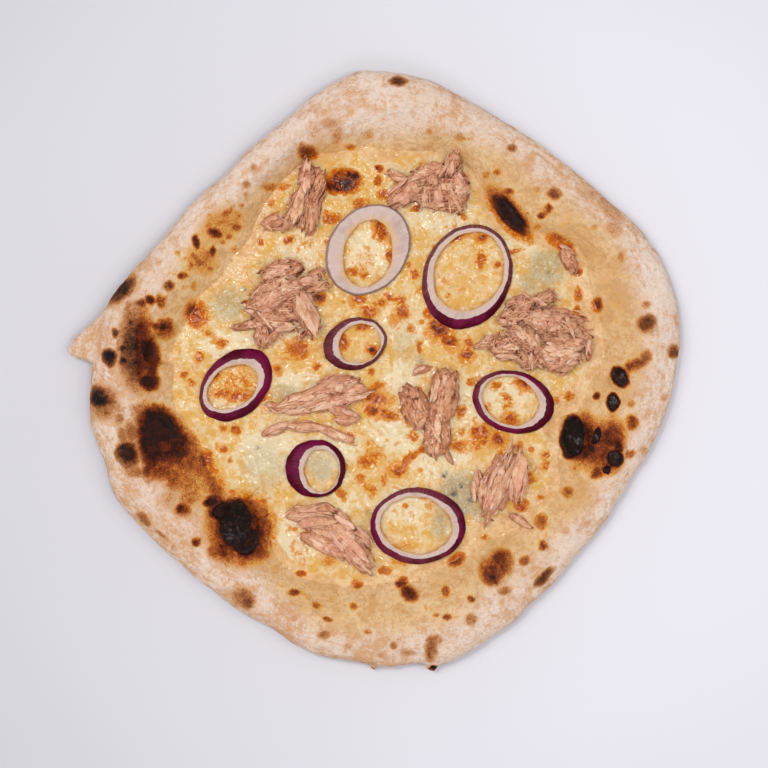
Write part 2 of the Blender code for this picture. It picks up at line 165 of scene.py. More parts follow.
# Baked spots in photo pixels: x, y, half width, half height, depth of colour from 0 for raw to 1 for
# charred, or more where the char reaches further from the middle, and the clockwise turn of some
CRUST_SPOTS = (
    (123, 291, 19, 8, 0.86, -45), (151, 301, 5, 5, 0.9), (142, 304, 5, 5, 0.65), (162, 302, 5, 8, 0.45),
    (138, 348, 17, 43, 0.74), (148, 349, 9, 14, 0.94), (149.5, 382, 10, 9, 0.95), (152, 362, 7, 26, 0.75),
    (132, 323, 3.5, 3.5, 0.8), (117, 334, 4, 6, 0.78), (125, 348, 4.5, 4.5, 0.86),
    (111, 358, 7.5, 9.5, 0.96, -15), (125, 362, 4.5, 5, 0.84), (138, 348, 3, 3, 0.95),
    (127, 341, 3, 3, 0.8), (138, 334, 3, 3, 0.88), (165, 329, 10, 10, 0.55), (163, 328, 4, 5, 0.8),
    (196, 313, 12, 14, 0.58), (100, 398, 11, 12, 0.95), (105, 402, 17, 19, 0.46),
    (170, 287, 5.5, 5.5, 0.55), (184, 276, 4.5, 4, 0.5), (178, 254, 3.5, 3.5, 0.26),
    (203, 260, 15, 17, 0.26), (201, 263, 6, 6, 0.38), (209, 268, 4, 4, 0.34), (196, 255, 4, 3.5, 0.35),
    (192, 265, 3.5, 5, 0.3), (207, 256, 4, 3, 0.3), (197, 243, 4, 7, 0.74, -10), (213, 251, 3.5, 5, 0.58),
    (215, 233, 8, 4.5, 0.74, 20), (222, 224, 26, 18, 0.22, -35), (237, 227, 5, 4.5, 0.44),
    (227, 213, 8, 3.5, 0.36, -30), (209, 227, 4, 3.5, 0.32), (221, 224, 7, 3, 0.33, -40),
    (238, 214, 4, 3, 0.3), (234, 250, 4, 3.5, 0.25), (242, 205, 3.5, 3, 0.28), (195, 286, 4, 4, 0.25),
    (229, 236, 5, 3, 0.35, -20), (222, 242, 4, 3, 0.3), (247, 185, 5, 4.5, 0.34), (246, 195, 3.5, 3, 0.3),
    (256, 170, 7, 4, 0.2), (160, 427, 27, 18, 0.98, 38), (152, 440, 14, 34, 0.94, -8),
    (172, 448, 26, 22, 0.72, 20), (160, 466, 18, 16, 0.56), (190, 480, 32, 34, 0.14),
    (180, 462, 24, 20, 0.45), (182, 482, 20, 14, 0.36), (203, 470, 12, 24, 0.42, -20),
    (133, 430, 8, 12, 0.45), (129, 454, 11, 14, 0.96, -20), (135, 470, 10, 8, 0.42),
    (205, 459, 8, 10, 0.55), (213, 482, 10, 24, 0.48, -25), (219, 502, 8, 9, 0.6),
    (170, 500, 13, 13, 0.2), (190, 496, 15, 11, 0.3), (183, 509, 10, 8, 0.46), (181, 508, 5, 5, 0.74),
    (197, 541, 5, 5, 0.62), (144, 519, 10, 4.5, 0.56, 45), (162, 535, 11, 3, 0.36, 40),
    (120, 420, 5, 8, 0.35), (124, 435, 5, 9, 0.4), (236, 524, 18, 25, 1.4), (222, 511, 14, 10, 1.1, -15),
    (246, 540, 15, 18, 1.15), (212, 503, 9, 5, 1.0, -15), (240, 530, 32, 34, 0.74),
    (255, 550, 14, 14, 0.6), (217, 549, 10, 13, 0.36), (214, 500, 10, 6, 0.7, -20),
    (244, 598, 13, 10, 0.55, 35), (300, 575, 6, 3, 0.6, 10), (293, 592, 6, 4, 0.48),
    (317, 605, 5.5, 3.5, 0.48, 20), (328, 618, 4.5, 3, 0.5), (357, 585, 6, 6, 0.52),
    (324, 634, 7, 5, 0.5), (349, 645, 6, 4, 0.22), (381, 654, 5.5, 4, 0.24), (406, 652, 7, 5.5, 0.3),
    (431, 649, 6, 13, 0.58), (436, 640, 6, 7, 0.34), (434, 672, 7, 6, 1.3), (402, 583, 6, 6, 0.7),
    (410, 594, 9.5, 7, 0.74, 30), (385, 571, 7, 5, 0.42), (368, 631, 5, 3, 0.3), (493, 571, 13, 14, 0.6),
    (501, 562, 12, 13, 0.6), (489, 580, 7, 6, 0.55), (507, 556, 5, 8, 0.5), (497, 567, 12, 15, 0.56, 40),
    (457, 560, 10, 7, 0.54, -30), (504, 590, 7, 4, 0.44, -10), (544, 546, 5, 5, 0.42),
    (525, 561, 6, 5, 0.42), (565, 531, 6, 5, 0.2), (587, 522, 6, 4, 0.22, -40),
    (544, 577, 14, 5, 0.72, -42), (486, 538, 6, 3.5, 0.4), (522, 506, 7.5, 6.5, 0.7),
    (541, 522, 7, 8, 0.36), (471, 619, 6, 7, 0.4), (437, 615, 3.5, 2.5, 0.45), (447, 617, 4, 3, 0.4),
    (471, 599, 4.5, 3, 0.48), (446, 591, 4.5, 5.5, 0.48), (573, 437, 12.5, 23, 1.5, 4),
    (583, 440, 14, 25, 0.84, 8), (598, 446, 24, 25, 0.6), (596, 436, 4.5, 10, 1.35, 22),
    (613, 402, 6.5, 9, 1.15), (597, 396, 4, 4, 0.78), (620, 377, 9, 12, 1.15, -30),
    (637, 364, 15, 6, 0.55, -25), (645, 357, 7, 7, 0.55), (673, 351, 6, 7, 0.7), (631, 423, 7, 8, 0.58),
    (614, 458, 10, 9, 1.2, -20), (617, 446, 6, 8, 0.85), (606, 470, 4.5, 4.5, 1.15),
    (596, 472, 7, 6, 0.56), (611, 438, 15, 19, 0.6), (608, 460, 16, 15, 0.5), (630, 455, 6, 5, 0.3),
    (643, 450, 6, 6, 0.22), (664, 397, 5, 5, 0.24), (568, 492, 7, 6.5, 0.42), (554, 194, 7, 6.5, 0.55),
    (547, 210, 5.5, 5.5, 0.42), (542, 216, 4.5, 4, 0.48), (537, 190, 5, 4, 0.26), (537, 226, 5, 4, 0.32),
    (562, 243, 18, 8, 0.52, 35), (568, 247, 9, 5, 0.6, 40), (578, 272, 5, 4.5, 0.9),
    (579, 295, 4.5, 8, 0.5), (577, 310, 4, 5, 0.45), (578, 321, 5.5, 7, 0.5), (598, 305, 5, 7, 0.62),
    (620, 257, 4.5, 6.5, 0.34), (594, 228, 4, 4, 0.24), (646, 324, 9, 9, 0.7), (646, 305, 6, 5, 0.3),
    (610, 211, 22, 9, 0.24, 45), (614, 228, 12, 10, 0.22), (588, 194, 14, 7, 0.18, 35),
    (510, 214, 10, 28, 1.06, -39), (510, 214, 13, 33, 0.6, -39), (512, 148, 5, 4, 0.52, 20),
    (459, 138, 5, 4, 0.3), (487, 175, 5, 4, 0.3), (497, 172, 4, 4, 0.3), (508, 192, 5, 4, 0.5),
    (463, 216, 4, 4, 0.55), (398, 83, 9, 5.5, 0.82), (307, 151, 11, 7.5, 0.55, 15),
    (351, 147, 7, 4, 0.32), (337, 136, 6, 10, 0.3, 15), (366, 135, 8, 4, 0.2), (329, 124, 12, 7, 0.24),
    (344, 181, 18, 12, 0.84, 6), (335, 185, 9, 9, 0.92), (352, 177, 8, 6, 0.98), (379, 168, 4.5, 4, 0.55),
    (378, 180, 4.5, 5.5, 0.62), (398, 181, 5, 4, 0.35), (383, 194, 7, 6, 0.42), (362, 203, 10, 6, 0.4),
    (332, 218, 9, 7, 0.46), (416, 208, 6, 3.5, 0.55, -10), (289, 240, 6, 4.5, 0.46),
    (260, 242, 4.5, 3.5, 0.52), (270, 202, 4, 4, 0.5), (269, 187, 9, 4, 0.34, -10),
    (283, 186, 8, 5, 0.3, -30), (255, 168, 4, 3, 0.35), (430, 131, 4, 4, 0.25), (630, 405, 4, 4, 0.3),
)

# Even browning of the crust's underside, in the same form
UNDERSIDE = ((374, 372, 250, 250, 0.3),)

# Where the dry crust has scorched to a warm brown, in the same form
SCORCHED = (
    (155, 350, 16, 60, 1.0), (182, 455, 48, 70, 0.6), (240, 530, 50, 48, 1.0), (605, 440, 42, 46, 1.0),
    (212, 240, 38, 46, 1.0, 30),
)

# Browned spots of the cheese, in the same form
CHEESE_SPOTS = (
    (207, 332, 4, 4, 0.45), (222, 342, 7, 4, 0.42), (199, 357, 4.5, 5, 0.5), (183, 376, 5, 3.5, 0.38),
    (191, 382, 4, 3, 0.38), (316, 367, 4, 4, 0.4), (298, 352, 15, 9, 0.36), (303, 350, 7, 5, 0.45),
    (277, 370, 4, 4, 0.42), (322, 298, 5, 4.5, 0.8), (233, 385, 24, 21, 0.17),
    (214, 375, 6, 5, 0.62, -30), (240, 396, 9, 5, 0.55), (222, 393, 8, 5, 0.45), (236, 430, 6, 5.5, 0.56),
    (223, 429, 5, 5, 0.42), (223, 449, 5, 4, 0.42), (230, 461, 3, 3, 0.35), (415, 274, 5, 5, 0.48),
    (409, 264, 3, 3, 0.45), (381, 230, 6, 11, 0.68, -20), (390, 256, 4, 6, 0.56), (352, 272, 7, 5, 0.42),
    (364, 276, 4, 3, 0.5), (389, 296, 4, 4, 0.52), (359, 300, 6, 5, 0.56), (379, 304, 7, 3, 0.52, -20),
    (369, 312, 7, 6, 0.48), (402, 312, 7, 7, 0.46), (399, 300, 6, 5, 0.42), (363, 326, 7, 4.5, 0.52),
    (343, 342, 5, 9, 0.48), (373, 350, 6.5, 5.5, 0.44), (441, 330, 10, 9, 0.72, 20),
    (449, 341, 9, 6, 0.72, 25), (434, 325, 5, 5, 0.8), (430, 312, 7, 8, 0.42),
    (457, 237, 9, 3.5, 0.58, -20), (482, 238, 6, 4.5, 0.62), (481, 260, 5, 8, 0.5, 20),
    (498, 264, 4, 3.5, 0.48), (449, 296, 3, 3, 0.4), (458, 277, 20, 18, 0.14), (470, 342, 4.5, 5, 0.62),
    (467, 354, 6, 6.5, 0.62), (419, 349, 3, 6, 0.38), (371, 371, 4, 4, 0.45), (375, 398, 13, 6, 0.5, 10),
    (372, 410, 8, 6, 0.64), (388, 414, 11, 5, 0.52, 10), (407, 418, 5, 7, 0.46),
    (376, 386, 9, 5, 0.4, -20), (414, 436, 5, 5, 0.42), (372, 452, 9, 17, 0.24), (366, 462, 9, 7, 0.4),
    (398, 470, 7, 6.5, 0.6), (410, 459, 5, 14, 0.42, 50), (421, 449, 4, 4, 0.45),
    (385, 480, 3.5, 6, 0.35), (462, 411, 5, 6, 0.48), (461, 432, 4, 4, 0.4), (480, 437, 9, 13, 0.46),
    (477, 430, 6, 5, 0.52), (499, 439, 7.5, 7, 0.62), (459, 446, 8, 5, 0.45), (471, 382, 5, 4, 0.36),
    (523, 384, 7, 4.5, 0.74, 20), (508, 397, 4, 4, 0.42), (509, 405, 4, 3, 0.42), (511, 420, 7, 6, 0.56),
    (486, 410, 4, 5, 0.46), (570, 396, 7, 4.5, 0.46), (556, 401, 4, 4, 0.4), (520, 447, 3.5, 5, 0.42),
    (546, 455, 4, 4, 0.45), (546, 466, 3.5, 5, 0.4), (530, 478, 7, 6, 0.36), (341, 494, 6, 5, 0.4),
    (370, 488, 9, 5, 0.34, 30), (361, 479, 5, 6, 0.35), (542, 497, 5, 3, 0.4),
    (515, 251, 7, 3, 0.42, -30), (350, 435, 7, 3, 0.3), (292, 262, 4, 3, 0.3), (410, 330, 3, 3, 0.3),
    (497, 385, 7, 4, 0.36), (345, 466, 7, 5, 0.32), (436, 302, 5, 5, 0.38), (420, 291, 5, 4, 0.34),
    (364, 264, 16, 19, 0.2), (296, 240, 20, 11, 0.11), (300, 548, 12, 22, 0.18), (405, 560, 8, 5, 0.34),
    (327, 562, 9, 5, 0.26), (304, 520, 6, 9, 0.22), (412, 545, 12, 5, 0.2), (440, 553, 9, 5, 0.3, -30),
    (330, 590, 6, 4, 0.26),
)

# Grey-green patches where a blue cheese has melted, and their darker specks, in the same form
BLUE_PATCHES = (
    (458, 497, 24, 28, 1.05, 20), (480, 512, 12, 12, 0.8), (546, 268, 20, 21, 0.9),
    (530, 282, 12, 12, 0.7), (228, 304, 21, 19, 0.75), (263, 466, 26, 30, 0.42), (440, 526, 11, 18, 0.7),
    (321, 468, 15, 17, 0.75), (419, 359, 6, 6, 0.6), (283, 392, 14, 9, 0.7), (372, 522, 14, 16, 0.4),
    (404, 345, 14, 22, 0.35),
)
BLUE_SPECKS = (
    (445, 475, 3, 5, 1.0, 30), (454, 493, 4, 5, 1.0, -20), (461, 486, 3, 3, 1.0), (470, 501, 3, 4, 0.8),
    (488, 498, 5, 4, 0.7), (243, 289, 3, 3, 0.8), (259, 262, 3, 2.5, 0.8), (548, 271, 2.5, 2, 0.7),
    (257, 447, 3, 3, 0.6), (441, 519, 3, 4, 0.5), (421, 361, 3, 3, 0.5), (368, 512, 3, 2.5, 0.5),
)

# Paler, thicker patches of cheese, in the same form
CREAM_PATCHES = (
    (228, 345, 30, 16, 0.9), (270, 450, 34, 26, 0.9), (400, 430, 30, 26, 0.9), (470, 405, 22, 36, 0.7),
    (300, 250, 22, 20, 0.8), (440, 214, 34, 20, 0.7), (368, 252, 22, 30, 0.8), (510, 398, 26, 22, 0.7),
    (297, 540, 22, 24, 1.0), (345, 505, 22, 14, 0.6), (405, 505, 24, 20, 0.8), (410, 322, 30, 28, 0.5),
    (440, 460, 34, 18, 0.8), (330, 455, 30, 22, 0.7), (285, 330, 34, 20, 0.5), (520, 246, 18, 9, 0.5),
    (224, 404, 18, 16, 0.6), (300, 382, 26, 12, 0.7), (402, 378, 20, 18, 0.9), (388, 436, 20, 12, 1.0),
)

# Onion rings, each as the ovals of its outer foot, its skin's top edge and its hole:
# lowest x, highest x, lowest y, highest y, and the lean of the oval
ONION_RINGS = (
    ((-26.3, 19.0, 41.0, 89.5, 12), (-25.0, 17.9, 42.0, 88.4, 12), (-16.8, 9.4, 45.1, 80.7, 9)),
    ((25.0, 73.1, 23.0, 78.8, 9), (27.5, 70.9, 28.1, 76.7, 9), (31.1, 68.7, 32.5, 74.4, 9)),
    ((-27.4, 6.4, 1.1, 29.2, 8), (-22.4, 4.8, 3.9, 27.3, 8), (-18.9, 3.3, 4.7, 25.7, 6)),
    ((-93.2, -54.4, -26.1, 12.9, 18), (-91.1, -58.5, -21.5, 7.4, 21), (-89.1, -62.0, -19.8, 3.9, 18)),
    ((51.9, 95.1, -32.7, 1.2, -9), (55.2, 90.7, -29.9, -0.8, -10), (56.9, 86.8, -28.0, -2.2, -9)),
    ((-47.4, -15.3, -66.6, -35.6, 0), (-40.1, -18.3, -64.5, -38.6, 0), (-37.5, -19.2, -63.4, -40.8, 0)),
    ((-2.5, 48.3, -101.9, -61.3, 0), (0.3, 44.6, -98.8, -64.1, -4), (2.9, 41.1, -96.1, -66.2, -5)),
)

# How deeply coloured the skin of each onion ring is
SKIN_DEPTH = (0.5, 1.0, 1.0, 1.0, 1.0, 1.0, 1.0)

# How dry and brown the skin of each onion ring is round it: degrees, share
SKIN_DRYNESS = (
    ((0, 0.3), (180, 0.35)),
    ((0, 0.6), (60, 0.75), (120, 0.9), (180, 0.6), (240, 0.12), (300, 0.1)),
    ((0, 0.95), (60, 0.7), (130, 0.6), (200, 0.45), (260, 0.4), (310, 0.6)),
    ((0, 0.1), (60, 0.05), (130, 0.3), (190, 0.5), (250, 0.15), (310, 0.05)),
    ((0, 0.1), (60, 0.25), (130, 0.45), (190, 0.4), (250, 0.2), (310, 0.05)),
    ((0, 0.2), (90, 0.05), (180, 0.0), (270, 0.1)),
    ((0, 0.2), (60, 0.45), (120, 0.6), (190, 0.25), (260, 0.4), (320, 0.3)),
)

# Section of an onion ring, from its inner foot outwards and up to its hole:
# oval walked from, oval walked to, share of the way, share of the height
ONION_SECTION = (
    (2, 0, 0.3, -0.15), (0, 1, 0.3, -0.15), (0, 1, 0.02, 0.1), (0, 1, 0.0, 0.3), (0, 1, 0.16, 0.55),
    (0, 1, 0.4, 0.78), (0, 1, 0.7, 0.93), (0, 1, 0.95, 1.0), (1, 2, 0.06, 1.02), (1, 2, 0.25, 0.99),
    (1, 2, 0.5, 0.96), (1, 2, 0.75, 0.93), (1, 2, 0.93, 0.86), (1, 2, 1.0, 0.72), (2, 0, 0.01, 0.4),
    (2, 0, 0.06, 0.1),
)

# Corner of the section at which the skin ends and the cut face begins
SKIN_END = 7.5

# Each clump of tuna, as its lobes: x, y, length, width, direction of the grain, height
TUNA = (
    (
        (-36.5, 103, 22, 8, -95, 8), (-41, 89, 24, 9.5, -110, 7), (-30, 97, 22, 6.5, -105, 6),
        (-33, 82, 18, 6, -98, 5), (-45, 80, 12, 5, -125, 5),
    ),
    ((-53.5, 79.5, 14, 8.5, 5, 5),),
    (
        (16, 96, 22, 12.2, 38, 7), (13.5, 103, 17, 5, -25, 4), (29, 106.5, 20, 9, 11, 6),
        (29, 98, 22, 9, -109, 8), (41, 110, 16, 9, -113, 10), (44, 96, 22, 11.7, -93, 8),
        (37, 88, 20, 5.8, -7, 5),
    ),
    (
        (-49, 54, 23, 11.7, 10, 8), (-55, 41, 28, 17, 32, 10), (-40, 46, 21, 6.4, 21, 10),
        (-31, 52, 11, 5.8, 24, 6), (-31, 45, 16, 4.8, 11, 5), (-37, 32, 26, 12, -68, 9),
        (-67, 25, 18, 5.3, 10, 5), (-53, 27, 22, 9, -21, 8), (-60, 19, 13, 8, -84, 5),
        (-54, 19, 12, 4.2, -120, 5), (-37, 21, 11, 3.2, 40, 4),
    ),
    (
        (74, 36.5, 9, 6, 14, 6), (79, 36, 12, 10.6, 3, 9), (90, 39, 13, 8, 17, 8),
        (72, 29, 13, 9, 17, 8), (92, 26, 34, 13.8, -9, 13), (80, 18, 22, 10.6, -25, 13),
        (61, 16, 16, 5.8, 18, 5), (70, 13, 18, 13, 5, 7), (80, 7, 12, 10.1, -60, 9),
        (97, 9, 24, 19, -9, 10), (113, 14, 16, 4.2, -83, 5), (106, 16, 13, 9.5, 6, 8),
    ),
    (
        (-32, -12, 49, 9, 20, 8), (-22, -15.5, 40, 7, 13, 6), (-22, -4, 19, 4.2, 12, 6),
        (-15, -24, 13, 8.5, 0, 6), (-19, -20, 12, 6.4, -13, 5), (-54, -18, 9, 4.2, -18, 4),
    ),
    (
        (-52, -30, 16, 5.8, 21, 4), (-38, -29, 22, 5.8, -3, 4), (-21, -33, 22, 5.8, -21, 4),
    ),
    (
        (36.5, -12, 32, 16.5, -97, 9), (21.5, -18.5, 26, 15.5, -71, 8), (33, -34, 24, 15.5, -93, 7),
        (39, -45, 9, 3.2, -67, 4),
    ),
    ((25, 1, 10, 4.2, 15, 4),),
    (
        (65, -61, 41, 12, 69, 9), (76, -56, 27, 10, 83, 8), (54, -59, 15, 4.8, 80, 5),
        (58, -60, 14, 5.8, 76, 6),
    ),
    ((77, -79, 14, 4.8, -33, 4),),
    (
        (-38, -75, 20, 9, 7, 6), (-28, -73, 13, 8, -8, 6), (-16, -79, 14, 6, -62, 5),
        (-29, -80, 25, 8.5, -1, 7), (-13, -92, 38, 13.8, -52, 8), (-26, -92, 30, 9.5, -25, 6),
        (-6, -88, 12, 6.4, -45, 6),
    ),
    ((103, 60, 15, 8.5, -61, 5),),
)

# The kind of meat in each clump
TUNA_KINDS = (
    "shreds", "crumbs", "flakes", "flakes", "flakes", "fibres", "fibres", "blocks", "crumbs",
    "fibres", "blocks", "fibres", "crumbs",
)

# Each kind of meat: height of its ridges, lumps and pits, its darkest and lightest tone, how many
# leaves, slivers and crumbs lie on a square centimetre, and how far they turn from the grain
TUNA_LOOKS = {
    "fibres": (0.42, 0.3, 0.12, (0.56, 0.76), 1.4, 7, 1, 8),
    "flakes": (0.3, 0.75, 1.0, (0.38, 0.68), 2.6, 12, 6, 50),
    "blocks": (0.22, 0.45, 0.6, (0.5, 0.66), 0.6, 1.2, 4, 40),
    "crumbs": (0.35, 0.5, 0.5, (0.45, 0.7), 2.0, 8, 4, 45),
    "shreds": (0.35, 0.55, 0.5, (0.34, 0.54), 2.4, 12, 4, 24),
}

# Each kind of piece on the meat: least and most length, width and thickness. Leaves keep only the
# thickness, because their length and width also depend on where they lie
TUNA_PIECES = {
    "leaf": ((5, 14), (2.2, 5.0), (0.7, 1.2)),
    "large leaf": ((5, 14), (2.2, 5.0), (0.7, 1.2)),
    "sliver": ((3, 11), (0.6, 1.3), (0.5, 0.9)),
    "crumb": ((1.4, 3.4), (1.0, 2.2), (0.9, 1.6)),
}

# The largest leaves: number of the clump, x, y, length, width, direction
TUNA_LEAVES = (
    (4, -35, 31, 24, 9.5, -66), (4, -45, 43, 12, 7, 10), (4, -34, 48, 12, 5.5, -10),
    (4, -49, 25, 13, 4, -10), (4, -53, 52, 12, 5, 25), (3, 17, 94, 16, 8, 35), (3, 30, 107, 14, 5, 15),
    (3, 33, 92, 14, 5, -95), (1, -40, 90, 22, 5, -105), (1, -36, 104, 18, 4.5, -95),
    (5, 91, 29, 15, 5, -15), (5, 98, 12, 16, 6, -5), (5, 79, 15, 12, 5, -30), (5, 70, 26, 10, 4, 10),
    (10, 68, -60, 26, 6, 66), (10, 76, -53, 22, 6, 84), (12, -12, -90, 26, 5, -50),
    (12, -30, -79, 20, 5, 5), (8, 32, -9, 14, 5, -95), (6, -36, -11, 34, 4, 20), (6, -18, -16, 30, 4, 14),
)

# Lower meat that fills the gaps between a clump's lobes: number of the clump, then as a lobe
TUNA_FILL = (
    (1, -35, 92, 34, 15, -98, 4), (3, 31, 98, 36, 18, 5, 4.5), (4, -49, 38, 38, 26, 20, 5),
    (5, 92, 21, 44, 30, -9, 6), (5, 80, 12, 28, 18, -20, 4.5), (6, -24, -14, 46, 12, 16, 4),
    (8, 33, -31, 24, 14, -85, 5), (10, 66, -59, 34, 17, 74, 4.5), (12, -22, -84, 38, 17, -32, 4),
)
TUNA_SEED = 23

# Noises of the crust and the cheese, broad to fine: grains to the metre, detail, roughness, distortion
SHARED_NOISES = ((38, 3, 0.55, 0.0), (150, 5, 0.6, 0.6), (470, 4, 0.62, 0.6), (1350, 3, 0.6, 0.0))


class PizzaSizes(bpy.types.PropertyGroup):
    crust_steps: IntProperty(name="Crust steps", description="Points round the crust", default=800)
    rim_rows: IntProperty(name="Rim rows", description="Points across the rim", default=108)
    cheese_steps: IntProperty(name="Cheese steps", description="Points across the cheese", default=304)
    ring_steps: IntProperty(name="Ring steps", description="Points round an onion ring", default=240)
    lumps: FloatProperty(
        name="Crust lumps", description="Height of the crust's lumps", default=0.0006, unit="LENGTH",
    )
    cheese_lumps: FloatProperty(
        name="Cheese lumps", description="Height of the cheese's lumps", default=0.0006, unit="LENGTH",
    )
    camera_height: FloatProperty(
        name="Camera height", description="Camera above the table", default=1.2, unit="LENGTH",
    )
    view_width: FloatProperty(
        name="View width", description="Width seen at the pizza's height", default=0.40704, unit="LENGTH",
    )


def colour(name, description, *shades):
    """A colour setting from the red, green and blue that a picture editor shows."""
    return FloatVectorProperty(
        name=name, description=description, subtype="COLOR", size=3, min=0, max=1,
        default=[linear(shade / 255) for shade in shades],
    )


def linear(value):
    return value / 12.92 if value <= 0.04045 else ((value + 0.055) / 1.055) ** 2.4


class PizzaColours(bpy.types.PropertyGroup):
    dough: colour("Dough", "Dry floury dough on the rim", 220, 198, 181)
    dough_tan: colour("Tanned dough", "Dry dough that has begun to brown", 200, 152, 110)
    dough_brown: colour("Browned dough", "Dry browned dough", 172, 114, 68)
    dough_dark: colour("Dark dough", "Dry dough, browned more", 122, 68, 36)
    dough_char: colour("Charred dough", "Dry dough, nearly charred", 64, 38, 26)
    flour: colour("Flour", "Flour left on the rim", 228, 215, 207)
    oily_dough: colour("Oily dough", "Dough that the oil has soaked", 220, 187, 142)
    oily_dark: colour("Dark oily dough", "Dough where more oil has soaked in", 199, 152, 98)
    golden: colour("Golden dough", "Oily dough that has begun to brown", 207, 148, 72)
    orange: colour("Orange brown", "Oily dough, browned more", 171, 92, 35)
    brown: colour("Brown", "Well browned oily dough", 111, 46, 17)
    dark: colour("Dark brown", "Nearly charred dough or cheese", 50, 19, 10)
    char: colour("Char", "Charred black", 22, 14, 12)
    cheese: colour("Cheese", "Melted yellow cheese", 205, 156, 77)
    cream: colour("Cream", "Paler thick cheese", 216, 196, 158)
    blue_cheese: colour("Blue cheese", "Melted blue cheese", 158, 142, 110)
    blue_speck: colour("Blue speck", "Specks in the blue cheese", 77, 77, 68)
    cheese_gold: colour("Cheese gold", "Cheese that has begun to brown", 199, 126, 24)
    cheese_orange: colour("Cheese orange", "Browned cheese", 178, 86, 4)
    cheese_brown: colour("Cheese brown", "Well browned cheese", 138, 54, 10)
    onion_skin: colour("Onion skin", "Moist purple skin", 72, 2, 24)
    onion_bright: colour("Bright onion skin", "Brighter patches of the skin", 102, 8, 52)
    onion_dry: colour("Dry onion skin", "Skin that the oven has dried", 106, 58, 60)
    onion_brown: colour("Brown onion skin", "Stripes along the dried skin", 156, 98, 64)
    onion_flesh: colour("Onion flesh", "Pale lilac cut face", 190, 165, 155)
    onion_pale: colour("Pale onion flesh", "Lightest fibres of the cut face", 228, 215, 207)
    onion_clear: colour("Clear onion", "Thin inner edge of the flesh", 206, 162, 108)
    tuna_pale: colour("Pale tuna", "Lightest flakes", 226, 186, 156)
    tuna_light: colour("Light tuna", "Light flakes", 216, 166, 131)
    tuna: colour("Tuna", "Most of the flakes", 196, 138, 102)
    tuna_brown: colour("Brown tuna", "Darker meat", 156, 98, 64)
    # The scale's darkest tone, which the painted shade in pits, crevices and edges reaches.
    tuna_dark: colour("Dark tuna", "Pits and crevices", 92, 46, 26)
    tuna_pink: colour("Pink tuna", "Tint of the pinker meat", 242, 216, 224)
    table: colour("Table", "The plain floor", 217, 214, 219)


def curve(values, slopes, start, share, span=1):
    """A smooth curve at a share of the way from one point of a table to the next."""
    t = share
    ends = values[start] + (3 - 2 * t) * t * t * (values[start + 1] - values[start])
    bend = (t - 2 * t * t + t**3) * slopes[start] + (t**3 - t * t) * slopes[start + 1]
    return ends + span * bend


def around(table, degrees):
    """Read the smooth closed curve through (degrees, value) pairs."""
    at, value = np.array(table, float).T
    at = np.concatenate((at[-2:] - 360, at, at[:2] + 360))
    value = np.concatenate((value[-2:], value, value[:2]))
    degrees = np.mod(degrees - at[0], 360) + at[0]
    start = np.clip(np.searchsorted(at, degrees, side="right") - 1, 0, len(at) - 2)
    span = at[start + 1] - at[start]
    return curve(value, np.gradient(value, at), start, (degrees - at[start]) / span, span)


def smooth(low, high, value):
    """0 up to low, 1 from high on, and a smooth rise between."""
    t = np.clip((value - low) / (high - low), 0, 1)
    return t * t * (3 - 2 * t)


def polar(radius, turn):
    return radius * np.cos(turn), radius * np.sin(turn)


def turned(right, ahead, degrees):
    """Distances along and across a direction, from those to the right and ahead."""
    turn = math.radians(degrees)
    along = right * math.cos(turn) + ahead * math.sin(turn)
    return along, ahead * math.cos(turn) - right * math.sin(turn)


def ripple(x, y, width, layer=0.0):
    """Smooth noise from -1 to 1 at each point, with bumps of this width."""
    depth = np.broadcast_to(layer, np.shape(x))
    return np.array([noise.noise(place) for place in zip(x / width, y / width, depth)])


def ripples(x, y, kinds):
    """Several ripples on one another, each given as its height, width and layer."""
    return sum(height * ripple(x, y, width, layer) for height, width, layer in kinds)


def ripple_round(turn, waves, layer):
    """Smooth noise round a closed outline, shorter for more waves."""
    return ripple(*polar(waves, turn), 1, layer)


def spots(table, x, y, core=0.3, edge=1.5):
    """Depth of colour at each point: that of the strongest spot there.

    A spot keeps its depth up to core times its half size and fades out at edge times that. The
    charred ones fade in a shorter way.
    """
    across = x / PIXEL + PHOTO_MIDDLE[0]
    down = PHOTO_MIDDLE[1] - y / PIXEL
    depth = np.zeros_like(x)
    for spot_x, spot_y, half_width, half_height, strength, *turn in table:
        charred = min(max((strength - CHAR_FROM) / (CHAR_FULL - CHAR_FROM), 0), 1)
        reach = (edge + 0.1) * max(half_width, half_height)
        near = np.nonzero((np.abs(across - spot_x) < reach) & (np.abs(down - spot_y) < reach))[0]
        along, aside = turned(across[near] - spot_x, down[near] - spot_y, *turn or (0,))
        out = np.hypot(along / half_width, aside / half_height)
        level = strength * (1 - smooth(core + 0.35 * charred, edge - 0.3 * charred, out))
        depth[near] = np.maximum(depth[near], level)
    return depth


def uneven(x, y):
    """Points shifted a little each way, which makes the outlines of spots uneven."""
    return x + ripples(x, y, STRAY_RIGHT), y + ripples(x, y, STRAY_AHEAD)


def points_of(mesh):
    points = np.empty(len(mesh.vertices) * 3)
    mesh.vertices.foreach_get("co", points)
    return points.reshape(-1, 3)


def place_points(mesh, points):
    mesh.vertices.foreach_set("co", (points * MM).ravel())
    mesh.update()


def grid(across, down, half_size=1):
    """A flat square sheet of across by down faces."""
    bm = bmesh.new()
    bmesh.ops.create_grid(bm, x_segments=across, y_segments=down, size=half_size)
    return bm


def grid_numbers(mesh, across, down):
    """The column and the row of each point of a sheet that reaches from -1 to 1."""
    x, y = points_of(mesh)[:, :2].T
    return np.round((x + 1) / 2 * across), np.round((y + 1) / 2 * down)


def mesh_of(bm, name):
    mesh = bpy.data.meshes.new(name)
    bm.to_mesh(mesh)
    bm.free()
    return mesh


